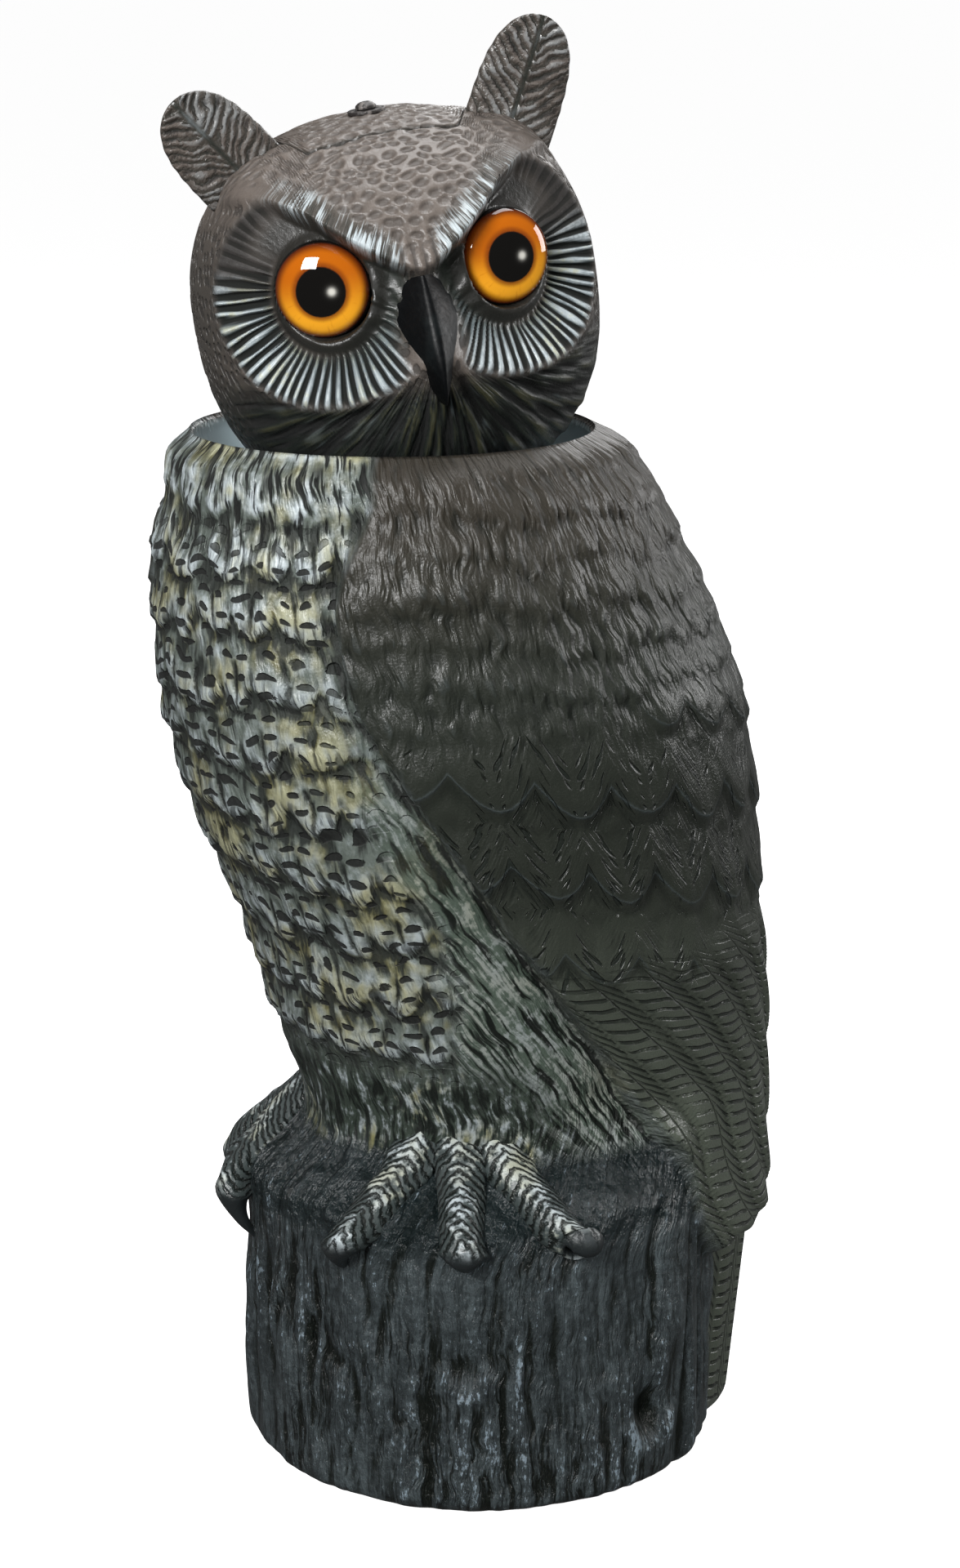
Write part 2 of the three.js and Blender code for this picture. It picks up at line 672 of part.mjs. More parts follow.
function wholeHead() {
  const bore = rod(SHANK_RADIUS + CLEARANCE, -2 * JAW_DEPTH, 2 * CROWN_HEIGHT);
  let solid = toSolid(headBall()).add(toSolid(beak()));
  solid = solid.add(toSolid(ear(LEFT_EAR_TIP))).add(toSolid(ear(RIGHT_EAR_TIP)));
  for (const side of [1, -1]) {
    const socket = new THREE.Mesh(turned(eyeProfile(CLEARANCE, 3 * EYE_DOME), 22));
    solid = solid.subtract(toSolid(placeEye(socket, side).geometry.applyMatrix4(socket.matrix)));
  }
  return solid.subtract(toSolid(bore));
}

const owl = new THREE.Group();
owl.add(mesh("body", toGeometry(body()), 0x4a4540, 0.6));

const shank = [[0, bossTop - SCREW_DEPTH], [SHANK_RADIUS, bossTop - SCREW_DEPTH], [SHANK_RADIUS, screwSeat]];
const screwHead = [
  [SCREW_HEAD_RADIUS, screwSeat],
  [SCREW_HEAD_RADIUS, screwSeat + SCREW_HEAD_HEIGHT * 0.4],
  [SCREW_HEAD_RADIUS * 0.7, screwSeat + SCREW_HEAD_HEIGHT * 0.85],
  [0, screwSeat + SCREW_HEAD_HEIGHT],
];
const screw = mesh("pivot_screw", turned([...shank, ...screwHead], 14), 0x3a3736, 0.45);
screw.applyMatrix4(pivot);
owl.add(screw);

const head = new THREE.Group();
head.applyMatrix4(pivot);
owl.add(head);

const headSolid = wholeHead();
const front = toSolid(seamCutter(-CLEARANCE / 2));
const frontGrown = toSolid(seamCutter(CLEARANCE / 2));
head.add(mesh("head_face", toGeometry(headSolid.intersect(front)), 0x4d4643, 0.6));
head.add(mesh("head_back", toGeometry(headSolid.subtract(frontGrown)), 0x4d4643, 0.6));
for (const [name, side] of [["eye_left", 1], ["eye_right", -1]]) {
  head.add(placeEye(mesh(name, turned(eyeProfile(0), 22), 0xd07a12, 0.1), side));
}
const washer = [
  [SHANK_RADIUS + CLEARANCE, crownSeat],
  [WASHER_RADIUS, crownSeat],
  [WASHER_RADIUS, crownSeat + WASHER_THICKNESS],
  [SHANK_RADIUS + CLEARANCE, crownSeat + WASHER_THICKNESS],
  [SHANK_RADIUS + CLEARANCE, crownSeat],
];
head.add(mesh("pivot_washer", turned(washer, 20), 0x3a3736, 0.5));

export default owl;
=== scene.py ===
import bpy
import numpy as np
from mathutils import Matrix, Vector


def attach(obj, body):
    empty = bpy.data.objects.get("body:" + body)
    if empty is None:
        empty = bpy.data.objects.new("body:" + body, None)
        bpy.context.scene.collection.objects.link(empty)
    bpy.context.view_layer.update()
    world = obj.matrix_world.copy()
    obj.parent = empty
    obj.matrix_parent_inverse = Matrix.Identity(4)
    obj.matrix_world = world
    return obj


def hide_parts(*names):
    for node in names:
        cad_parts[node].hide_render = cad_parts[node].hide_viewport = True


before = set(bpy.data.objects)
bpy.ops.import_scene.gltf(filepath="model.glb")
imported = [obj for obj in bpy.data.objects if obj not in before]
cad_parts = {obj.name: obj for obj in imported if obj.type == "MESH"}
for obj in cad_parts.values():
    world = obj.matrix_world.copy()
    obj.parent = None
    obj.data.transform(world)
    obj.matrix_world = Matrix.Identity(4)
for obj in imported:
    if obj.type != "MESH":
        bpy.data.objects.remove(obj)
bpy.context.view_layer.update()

bl_info = {
    "name": "Owl decoy",
    "version": (1, 0, 0),
    "blender": (4, 5, 0),
    "location": "View3D > Sidebar > Owl",
    "description": "Carved surfaces and dry-brushed paint of a great horned owl decoy with a turning head",
    "category": "Add Mesh",
}

# Millimetres throughout; meshes are scaled to metres when they are made.
MM = 0.001

# Body
STUMP_TOP = 120
LEDGE_RISE = 28
ANKLE_HEIGHT = 41
RIM_TOP = 437.5
HALF_WIDTH = 115
HALF_DEPTH = 123
NECK_FORWARD = 41.6
NECK_DEPTH = 38
RIM_LIP = 1.5
# Cross-sections of the torso with folded wings: height as a share of the way from the ankles to
# the rim, centre's Y and half depth as shares of HALF_DEPTH, half width as a share of HALF_WIDTH.
# Each row holds height, centre, half width, half depth
TORSO = [
    [-0.22, 0.22, 0.774, 0.878],
    [0, 0.22, 0.765, 0.862],
    [0.105, 0.163, 0.826, 0.894],
    [0.264, 0.072, 0.914, 0.912],
    [0.467, -0.05, 0.977, 0.98],
    [0.618, -0.13, 1, 0.984],
    [0.76, -0.208, 0.943, 0.935],
    [0.817, -0.244, 0.917, 0.893],
    [0.904, -0.277, 0.855, 0.82],
    [0.948, -0.3, 0.815, 0.78],
    [0.973, -0.32, 0.783, 0.744],
]
AXIS_START = 100
STUMP_RADIUS = 100
BARK_DEPTH = 1.8
BASE_ROUND = 6
# Angle round the stump, height, radius and depth of each knot
KNOTS = [(102, 33, 12, 5), (54, 66, 10, 3)]
# Slot in the bark: angle, height, half width, half height and depth
SLOT = (12, 64, 2.5, 13, 5)
BARK_ARC = 1.75  # millimetres of bark in a degree
TAIL_HALF_WIDTH = 74
TAIL_REACH = 119
TAIL_SQUARENESS = 3.3
TAIL_TAPER = 0.92
WING_TIP = 95
TAIL_STEP = 9
# Front edge of the folded wing: share of the way from the ankles to the rim, and degrees round
# the body from the breast's middle line
WING_EDGE = [
    [-0.3, 132],
    [-0.18, 119],
    [-0.09, 105],
    [-0.02, 89],
    [0.09, 79],
    [0.21, 69],
    [0.32, 61],
    [0.5, 51],
    [0.65, 42],
    [0.74, 40],
    [0.85, 43],
    [0.95, 51],
    [1, 54],
]
WING_SOFTNESS = 1.8
WING_LIP = 4
WING_LIP_REACH = 14
# Depth of the flank under the wing's edge, at shares of the way from the ankles to the rim
FLANK_DEPTH = [[-0.08, 3], [0.02, 9], [0.18, 13], [0.36, 12], [0.54, 9], [0.83, 7], [0.97, 0]]
FLANK_REACH = 26
LIP_FADE = 45

# Feathers: width in degrees, height, rise and scallop in millimetres, slant per degree
BREAST_FEATHER = (11, 25, 3, 8, 0)
COVERT = (16, 38, 3, 14, 0.35)
TUFT = (3.1, 17, 1.5, 5, 0.1)
BREAST_FEATHER_BREADTH = 21
COVERT_BREADTH = 31
TUFTS_BEGIN = (308, 350)  # heights between which the coverts give way to tufts
PRIMARY_TOP = 238
PRIMARY_BLEND = 25
PRIMARY_WIDTH = 15
PRIMARY_SLANT = 0.5
PRIMARY_STEP = 3
PRIMARY_SHAFT = 0.66  # where the shaft lies across a primary
# Soft bulge of the shoulder: height, half height, degrees behind the wing's edge, half width, rise
SHOULDER = (386, 15, 14, 11, 2.5)
TAIL_STRIP_START = 132
TAIL_STRIP_WIDTH = 9.6

# Toes: degrees round the stump, and how far the claw's tip hangs below the ledge's front edge
TOES = [(24, 18), (54, 12), (82, 3), (-18, 28), (-46, 34), (-80, 3)]
FOOT_ANGLE = 48
# Path of a toe: height above the ledge's edge or share of the claw's drop below it, distance out
# from the stump's side, half width and half thickness
TOE_PATH = [
    [44, -46, 7, 6],
    [32, -31, 8, 7],
    [20, -19, 9, 8],
    [12, -11, 9.5, 8.5],
    [3, 0.5, 9.5, 8.5],
    [-0.12, 5.5, 9, 8.5],
    [-0.37, 7, 8.5, 7],
    [-0.68, 4.5, 5.5, 4],
    [-1, -1.5, 1.2, 1.2],
]
TOE_FAN = 0.8
LONG_CLAW = 12
CLAW_CUFF = (5.6, 0.35)  # station and half width
# Stations of the path between which the scales end and the claw grows slim
SCALES_END = (5.9, 5.2)
CLAW_START = (5.4, 7)
TOE_CHART_PLACE = (0.37, 0.3)  # place in the chart where the toes read the body's noises

# Head
HEAD_SEAT = 52.5
HEAD_SETBACK = 1.6
HEAD_LEAN = np.radians(10)
HEAD_TURN = np.radians(68)
HEAD_RADIUS = 79.8
CROWN_HEIGHT = 71
CROWN_ROUNDNESS = 2.3
JAW_ROUNDNESS = 2.5
NECK_GAP = 11.8
EYE_PLACE = (37, -64, 18)
EYE_SPLAY = np.radians(15)
EYE_TILT = np.radians(3)
EYE_RADIUS = 18.5
EYE_DOME = 8
EYE_PLUG = 5
DISC_RADIUS = 31
DISC_STRETCH = 5  # the disc is this much wider sideways, both ways
DISC_DEPTH = 10
LID_RADIUS = 15.5
LID_WIDTH = 3.2
LID_RISE = 3
DISC_RIM_RISE = 2
DISC_RIM_WIDTH = 3
RAY_SWAY = 2.6  # how far the wandering shifts the rays' phase, in radians
# Lower margin of the brow: degrees from the face's middle line, and latitude
BROW = [[0, 14.5], [5, 16.7], [11, 20.2], [20, 25.8], [32, 33], [49, 38], [66, 37], [90, 34]]
BROW_EDGE = 1.6
BROW_RISE = 4
BROW_FADE = 14
# Degrees from the face's middle line between which the brow and the whole face fade out
BROW_END = (80, 58)
FACE_END = (105, 75)
# Swelling round the beak: latitude, half height and half width in degrees, and its rise
MUZZLE = (-4, 16, 9, 5)
# Pits in the skin: millimetres of skin in a degree, size of a cell across and down, and the
# distances from the cell's point, in cells, at which a pit ends and is deepest
FOREHEAD_ARC = 1.25
CHEEK_ARC = 1.35
DIMPLE_CELL = (6.6, 4.3)
DIMPLE_EDGE = (0.5, 0.16)
# How far the pits are moved down, in cells, to leave a painted shadow in the upper part of each dimple
DIMPLE_SHADE_SHIFT = 0.26
DASH_CELL = (3.4, 5.6)
DASH_EDGE = (0.42, 0.24)
DASH_DEPTH = 0.35
# Eye sockets: depth, and degrees from the eye's axis between which the wall drops
SOCKET_DEPTH = 16
SOCKET_EDGE = (14.6, 13.6)

# Ear tufts, in the head's own frame
EAR_BASE = (50, -12, 54)
LEFT_EAR_TIP = (71.5, -15, 98)
RIGHT_EAR_TIP = (-75, -15, 90)
EAR_HALF_WIDTH = 18
EAR_THICKNESS = 15
EAR_TIP_THICKNESS = 6
EAR_MOUND = 5
EAR_MOUND_SPREAD = 0.03
EAR_LENGTH = 52
EAR_STRAND = 5  # length of one strand
# Beak: height above the head's centre, ridge's distance forward, half width
BEAK = [
    [25, 76, 2.2],
    [18, 80, 5.5],
    [8, 86, 8.6],
    [-3, 91, 10],
    [-13, 93.5, 8.4],
    [-21, 93, 5],
    [-27.5, 90, 1.2],
]
BEAK_ROOT = 66

# Seam between the two head shells
SEAM_CROWN_Y = -31
SEAM_SIDE_Y = 9
SEAM_CROWN_HALF_WIDTH = 28
SEAM_EAR_HALF_WIDTH = 44
SEAM_SHOULDER = (34, 60)
SEAM_HALF_GAP = 0.35
SEAM_BEVEL = 0.6
SEAM_BEVEL_SHARE = 0.004  # of an arc's length
SEAM_SEARCH = (35, 90)  # degrees of swing between which the seam over the crown lies
SEAM_HALVINGS = 18
NAPE_RISE = 0.5  # how far the rear shell stands proud of the face shell
SIGHT_START = 78.0
SIGHT_STEPS = 7

# Pivot
SHANK_RADIUS = 2.2
SCREW_HEAD_RADIUS = 4.1
SCREW_HEAD_HEIGHT = 2.6
WASHER_RADIUS = 7.4
WASHER_THICKNESS = 1.3
SCREW_DEPTH = 18
BOSS_RADIUS = 13
BOSS_HEIGHT = 11
CLEARANCE = 0.3

LEG_TOP = STUMP_TOP + ANKLE_HEIGHT
DISH_FLOOR = RIM_TOP - NECK_DEPTH
HEAD_CENTRE = np.array([0, HEAD_SETBACK - NECK_FORWARD, RIM_TOP + HEAD_SEAT])
JAW_DEPTH = (HEAD_SEAT + NECK_DEPTH - BOSS_HEIGHT) / np.cos(HEAD_LEAN) - CLEARANCE
HEAD_AT_RIM = HEAD_RADIUS * (1 - (HEAD_SEAT / JAW_DEPTH) ** JAW_ROUNDNESS) ** (1 / JAW_ROUNDNESS)
NECK_RADIUS = HEAD_AT_RIM + NECK_GAP
CREST_RADIUS = NECK_RADIUS + RIM_LIP
BOSS_TOP = -JAW_DEPTH - CLEARANCE
CROWN_SEAT = CROWN_HEIGHT + CLEARANCE
SCREW_SEAT = CROWN_SEAT + WASHER_THICKNESS + CLEARANCE

# Fineness of the surfaces
BODY_ROWS = 196
BODY_COLUMNS = 384
TOE_ROWS = 58
TOE_COLUMNS = 28
EAR_ROWS = 84
EAR_COLUMNS = 56
BEAK_ROWS = 70
BEAK_COLUMNS = 48
EYE_ROWS = 34
EYE_COLUMNS = 96
BOSS_COLUMNS = 40
SCREW_COLUMNS = 48
WASHER_COLUMNS = 64
FACE_ROWS = 268
FACE_COLUMNS = 262
NAPE_ROWS = 190
NAPE_COLUMNS = 200

# Depth of the finest relief, in metres
BODY_BUMP = 0.0016
HEAD_BUMP = 0.0007
SMALL_BUMP = 0.0003

# Eyes, in millimetres from the axis: where the amber darkens, where the rim is black, and the
# place sideways and downwards and the spread of the painted glint, a pale spot painted beside
# the pupil's middle for the light that a thick clear eye focuses there
IRIS_EDGE = (14.2, 17.6)
EYE_RIM = (17.2, 18.0)
PAINTED_GLINT_SPOT = (4.2, 0.3, 3.2)

# Lamps: name, place and size in metres, power in watts, and whether it leaves a reflection
LAMPS = [
    ("key", (0.85, -1.45, 1.2), 0.6, 52, True),
    ("fill", (1.7, -0.1, 0.55), 0.6, 17, False),
    ("top", (-0.2, 0.3, 2.1), 1.2, 30, True),
    ("rim", (-1.0, 1.2, 1.3), 0.9, 14, True),
    ("side", (0.4, 2.0, 0.9), 0.9, 22, True),
]
LAMP_AIM = (0, 0, 0.35)
FLOOR_HALF_WIDTH = 30
FLOOR_GLOW = 0.92
ROOM_LIGHT = 0.1

# Camera at the photograph's angle, in degrees and metres; the lens in the photograph's pixels
CAMERA_AZIMUTH = 57
CAMERA_PITCH = 14.69
CAMERA_DISTANCE = 1.321
CAMERA_HEIGHT = 0.63
FILM_HEIGHT = 36
FOCAL_PIXELS = 4007
PHOTO_HEIGHT = 1920

# Cells after which the random tables repeat
NOISE_ROWS = 97
PIT_TABLE = 64


class OwlCarving(bpy.types.PropertyGroup):
    feather_depth: bpy.props.FloatProperty(
        name="Feather depth", description="Depth of the feathers as a share of the moulded one",
        default=1.0, min=0.0, max=1.3, subtype="FACTOR")
    bark_depth: bpy.props.FloatProperty(
        name="Bark depth", description="Height of the bark's ridges on the stump",
        default=3 * MM, min=0.0, max=4 * MM, unit="LENGTH")
    disc_flutes: bpy.props.IntProperty(
        name="Disc flutes", description="Number of rays round each eye", default=58, min=20, max=80)
    flute_depth: bpy.props.FloatProperty(
        name="Flute depth", description="Depth of the rays round the eyes",
        default=0.7 * MM, min=0.0, max=2 * MM, unit="LENGTH")
    dimple_depth: bpy.props.FloatProperty(
        name="Dimple depth", description="Depth of the crescent dimples on the crown",
        default=1.1 * MM, min=0.0, max=2 * MM, unit="LENGTH")
    pupil_radius: bpy.props.FloatProperty(
        name="Pupil radius", description="Radius of the black pupils",
        default=9.5 * MM, min=4 * MM, max=14 * MM, unit="LENGTH")


def paint(red, green, blue):
    """Screen values from 0 to 255 as the linear colour that shaders take."""
    screen = np.array([red, green, blue]) / 255
    return tuple(np.where(screen < 0.04, screen / 12.92, ((screen + 0.055) / 1.055) ** 2.4))


def colour_property(name, description, value):
    return bpy.props.FloatVectorProperty(
        name=name, description=description, default=paint(*value), subtype="COLOR", size=3,
        min=0.0, max=1.0)


class OwlPaint(bpy.types.PropertyGroup):
    ground: colour_property("Ground coat", "Dark green coat in the hollows", (33, 39, 34))
    frost: colour_property("Frost", "Bluish white dry-brushed on the breast and face", (185, 195, 199))
    straw: colour_property("Straw", "Tan dry-brushed on the breast", (158, 154, 106))
    brown: colour_property("Brown", "Head, shoulders and upper wings", (98, 90, 84))
    umber: colour_property("Umber", "Lower wings and tail", (32, 35, 30))
    slate: colour_property("Slate", "Stump", (58, 65, 67))
    amber: colour_property("Amber", "Iris", (222, 116, 14))


def ease(low, high, value):
    """Smooth step from 0 at low to 1 at high."""
    t = np.clip((value - low) / (high - low), 0, 1)
    return t * t * (3 - 2 * t)


def lerp(a, b, t):
    return a + (b - a) * t


def bell(distance):
    """Bell curve, 1 at 0 and near 0 beyond 2."""
    return np.exp(-distance * distance)


def along(stations, at, column=1):
    """A column of the stations as a smooth curve through them: cubic between two stations, with
    the slopes of their neighbours' chords."""
    table = np.array(stations, float)
    table = table[np.argsort(table[:, 0])]
    x, y = table[:, 0], table[:, column]
    slope = np.gradient(y, x)
    at = np.clip(at, x[0], x[-1])
    i = np.clip(np.searchsorted(x, at) - 1, 0, len(x) - 2)
    step = x[i + 1] - x[i]
    t = (at - x[i]) / step
    return (
        y[i] * (1 + 2 * t) * (1 - t) ** 2
        + slope[i] * step * t * (1 - t) ** 2
        + y[i + 1] * t * t * (3 - 2 * t)
        - slope[i + 1] * step * t * t * (1 - t)
    )


def unit(vector):
    return vector / np.linalg.norm(vector)


def full_turn(count):
    """That many angles, evenly round a circle, as one row."""
    return np.linspace(0, 2 * np.pi, count, endpoint=False)[None, :]


def smooth_max(a, b, blend):
    """The larger of two values, with the crease between them rounded over the blend."""
    h = np.maximum(0, blend - np.abs(a - b)) / blend
    return np.maximum(a, b) + h * h * blend / 4


def noise(u, v, seed, period=64):
    """Smooth random heights from -1 to 1 over a lattice of unit cells that repeats after
    `period` cells along u and NOISE_ROWS along v."""
    table = np.random.default_rng(seed).uniform(-1, 1, (NOISE_ROWS, period))
    iu, iv = np.floor(u).astype(int), np.floor(v).astype(int)
    fu, fv = ease(0, 1, u - iu), ease(0, 1, v - iv)
    u0, u1 = iu % period, (iu + 1) % period
    v0, v1 = iv % NOISE_ROWS, (iv + 1) % NOISE_ROWS
    low = lerp(table[v0, u0], table[v0, u1], fu)
    high = lerp(table[v1, u0], table[v1, u1], fu)
    return lerp(low, high, fv)


def ripple(turn, z, count, height, seed, drift=0):
    """Noise with that many cells round the body, each of that height in millimetres."""
    return noise(count * turn + drift, z / height, seed, count)


def shingle(position, turn=0.8):
    """Overlapping rows: a slow rise over most of each unit, then a drop."""
    t = position - np.floor(position)
    return np.where(t < turn, ease(0, turn, t), 1 - ease(turn, 1, t))


def plumage(degrees, z, size, flatness=0.3):
    """Staggered rows of rounded feathers with scalloped free ends. Returns the height, the place
    across the feather from -0.5 to 0.5 and the place down it from 0 to 1."""
    width, height, rise, scallop, slant = size
    flat = (RIM_TOP - z - slant * degrees) / height
    place = degrees / width + (np.floor(flat) % 2) / 2
    across = np.abs(np.cos(np.pi * place))
    down = flat + scallop * (1 - across) / height
    lift = rise * lerp(flatness, 1, across) * shingle(down)
    return lift, place - np.round(place), down - np.floor(down)


def ellipse_reach(angle, half_width, half_depth, offset):
    """Distance from a point to an ellipse whose centre lies `offset` behind it."""
    s, c = np.sin(angle), np.cos(angle)
    a = (s / half_width) ** 2 + (c / half_depth) ** 2
    b = c * offset / half_depth**2
    k = (offset / half_depth) ** 2 - 1
    return (-b + np.sqrt(b * b - a * k)) / a


def torso_height(share):
    return lerp(LEG_TOP, RIM_TOP, share)


SECTIONS = [
    [torso_height(s), c * HALF_DEPTH, w * HALF_WIDTH, d * HALF_DEPTH] for s, c, w, d in TORSO
] + [[RIM_TOP, -NECK_FORWARD, CREST_RADIUS, CREST_RADIUS]]
EDGE = [[torso_height(share), angle] for share, angle in WING_EDGE]
FLANK = [[torso_height(share), depth] for share, depth in FLANK_DEPTH]


def body_axis(z):
    """Y of the line from which the body's sections are measured."""
    torso = along(SECTIONS, np.maximum(z, LEG_TOP))
    return np.where(z < LEG_TOP, torso * ease(AXIS_START, LEG_TOP, z), torso)


def bark(angle, z, depth):
    """Broad waves, and on them upright ridges of three widths that wander and break with height,
    thin splits where a slow noise crosses zero, a slot in front, and the knots' hollows, each
    with a lip."""
    degrees = np.degrees(angle)
    turn = angle / (2 * np.pi) + 0.5
    drift = 0.6 * ripple(turn, z, 14, 50, 3)
    wide = ripple(turn, z, 26, 110, 4, drift)
    middle = ripple(turn, z, 64, 70, 5, drift)
    fine = ripple(turn, z, 150, 36, 6, 2 * drift)
    plates = ripple(turn, z, 24, 22, 7)
    splits = bell(ripple(turn, z, 36, 120, 8, drift) / 0.09) * ease(-0.4, 0.3, plates)
    coarse = (np.sin(13 * angle + 0.02 * z) + 0.7 * np.sin(21 * angle + 1.3)) / 1.7
    height = BARK_DEPTH * 0.6 * coarse
    height = height + depth * (0.45 * wide + 0.5 * middle + 0.35 * fine + 0.3 * plates - 0.7 * splits)
    for knot_angle, knot_height, radius, hollow in KNOTS:
        away = np.hypot((degrees - knot_angle) * BARK_ARC, (z - knot_height) * 0.8) / radius
        height = height - 1.3 * hollow * bell(away * 1.5)
        height = height + 1.6 * bell((away - 1.05) / 0.35) * ease(-0.2, 0.6, (knot_height - z) / radius)
    slot_angle, slot_height, half_width, half_height, slot_depth = SLOT
    slot = bell((degrees - slot_angle) * BARK_ARC / half_width) * bell((z - slot_height) / half_height)
    return height - slot_depth * slot


def breast_relief(degrees, turn, z, edge):
    """Scalloped feathers with a slit down each, which turn into long strokes along the wing and
    short ones at the neck and the ankles. Also the feathers' places, for the paint."""
    width, height, rise, _, _ = BREAST_FEATHER
    warped = degrees + 2.6 * ripple(turn, z, 34, 25, 11) + 0.8 * ripple(turn, z, 90, 12, 18)
    level = z + 5 * ripple(turn, z, 44, 34, 12)
    lift, across, down = plumage(warped, level, BREAST_FEATHER, 0.5)
    slit = bell(across * BREAST_FEATHER_BREADTH / 1.2) * ease(0.15, 0.35, down) * ease(0.95, 0.8, down)
    feathers = 0.9 * (lift - rise) - 0.8 * slit
    feathers = feathers + 0.6 * ripple(turn, z, 150, 9, 13)
    feathers = feathers + 0.7 * ripple(turn, z, 64, 14, 19) - 0.5
    strokes = noise((edge - degrees) * 0.55 + 0.6 * ripple(turn, z, 30, 15, 15), z / 22, 14)
    flank = 1.2 * strokes - 1.2
    broad = lerp(9, 32, ease(LEG_TOP + 110, LEG_TOP, z))
    beside = ease(broad + 8, broad, edge - degrees + 4 * ripple(turn, z, 50, 12, 16))
    beside = beside * ease(RIM_TOP - 60, LEG_TOP + 95, z)
    fluff = 1.3 * ripple(turn, z, 130, 17, 17) - 1.1
    low = ease(LEG_TOP + 24, LEG_TOP + 6, z)
    high = ease(RIM_TOP - 30, RIM_TOP - 12, z)
    relief = lerp(lerp(feathers, flank, beside), fluff, np.maximum(low, high))
    return relief, beside, (RIM_TOP - level) / height, warped / width


def wing_relief(degrees, turn, z):
    """Tufts on the shoulders, scalloped coverts with a shaft, and long slanting primaries. Also
    the coverts' and the primaries' places, for the paint."""
    width, height, _, _, slant = COVERT
    warped = degrees + 1.2 * ripple(turn, z, 60, 26, 21) + 0.8 * ripple(turn, z, 150, 13, 25)
    level = z + 4.5 * ripple(turn, z, 30, 30, 22) + 2 * ripple(turn, z, 120, 20, 26)
    tufts = plumage(warped, level, TUFT)[0] - TUFT[2] / 2
    tufts = tufts + 1.1 * ripple(turn, z, 185, 13, 28, 1.2 * ripple(turn, z, 40, 12, 27))
    tilt = z + 2.5 * ripple(turn, z, 26, 34, 29)
    even = degrees + 0.7 * ripple(turn, z, 20, 30, 30)
    lift, across, down = plumage(even, tilt, COVERT, 0.75)
    shaft = bell(across * COVERT_BREADTH / 1.3) * ease(0.1, 0.4, down)
    covert = 0.9 * lift + 0.5 * shaft + 0.3 * ripple(turn, z, 170, 9, 32)
    place = (degrees - PRIMARY_SLANT * (PRIMARY_TOP - z)) / PRIMARY_WIDTH
    vane = place + 0.08 * ripple(turn, z, 16, 30, 34)
    primary = 0.8 * PRIMARY_STEP * shingle(-vane, 0.93) - 0.3
    share = ease(PRIMARY_TOP, PRIMARY_TOP - PRIMARY_BLEND, z + 5 * ripple(turn, z, 24, 20, 33))
    small = ease(*TUFTS_BEGIN, z + 10 * ripple(turn, z, 24, 20, 23))
    blunt = covert * lerp(1, 0.35, small) + tufts * lerp(0.15, 1, small)
    row, column = (RIM_TOP - tilt - slant * even) / height, even / width
    return lerp(blunt, primary, share), row, column, vane, share, small


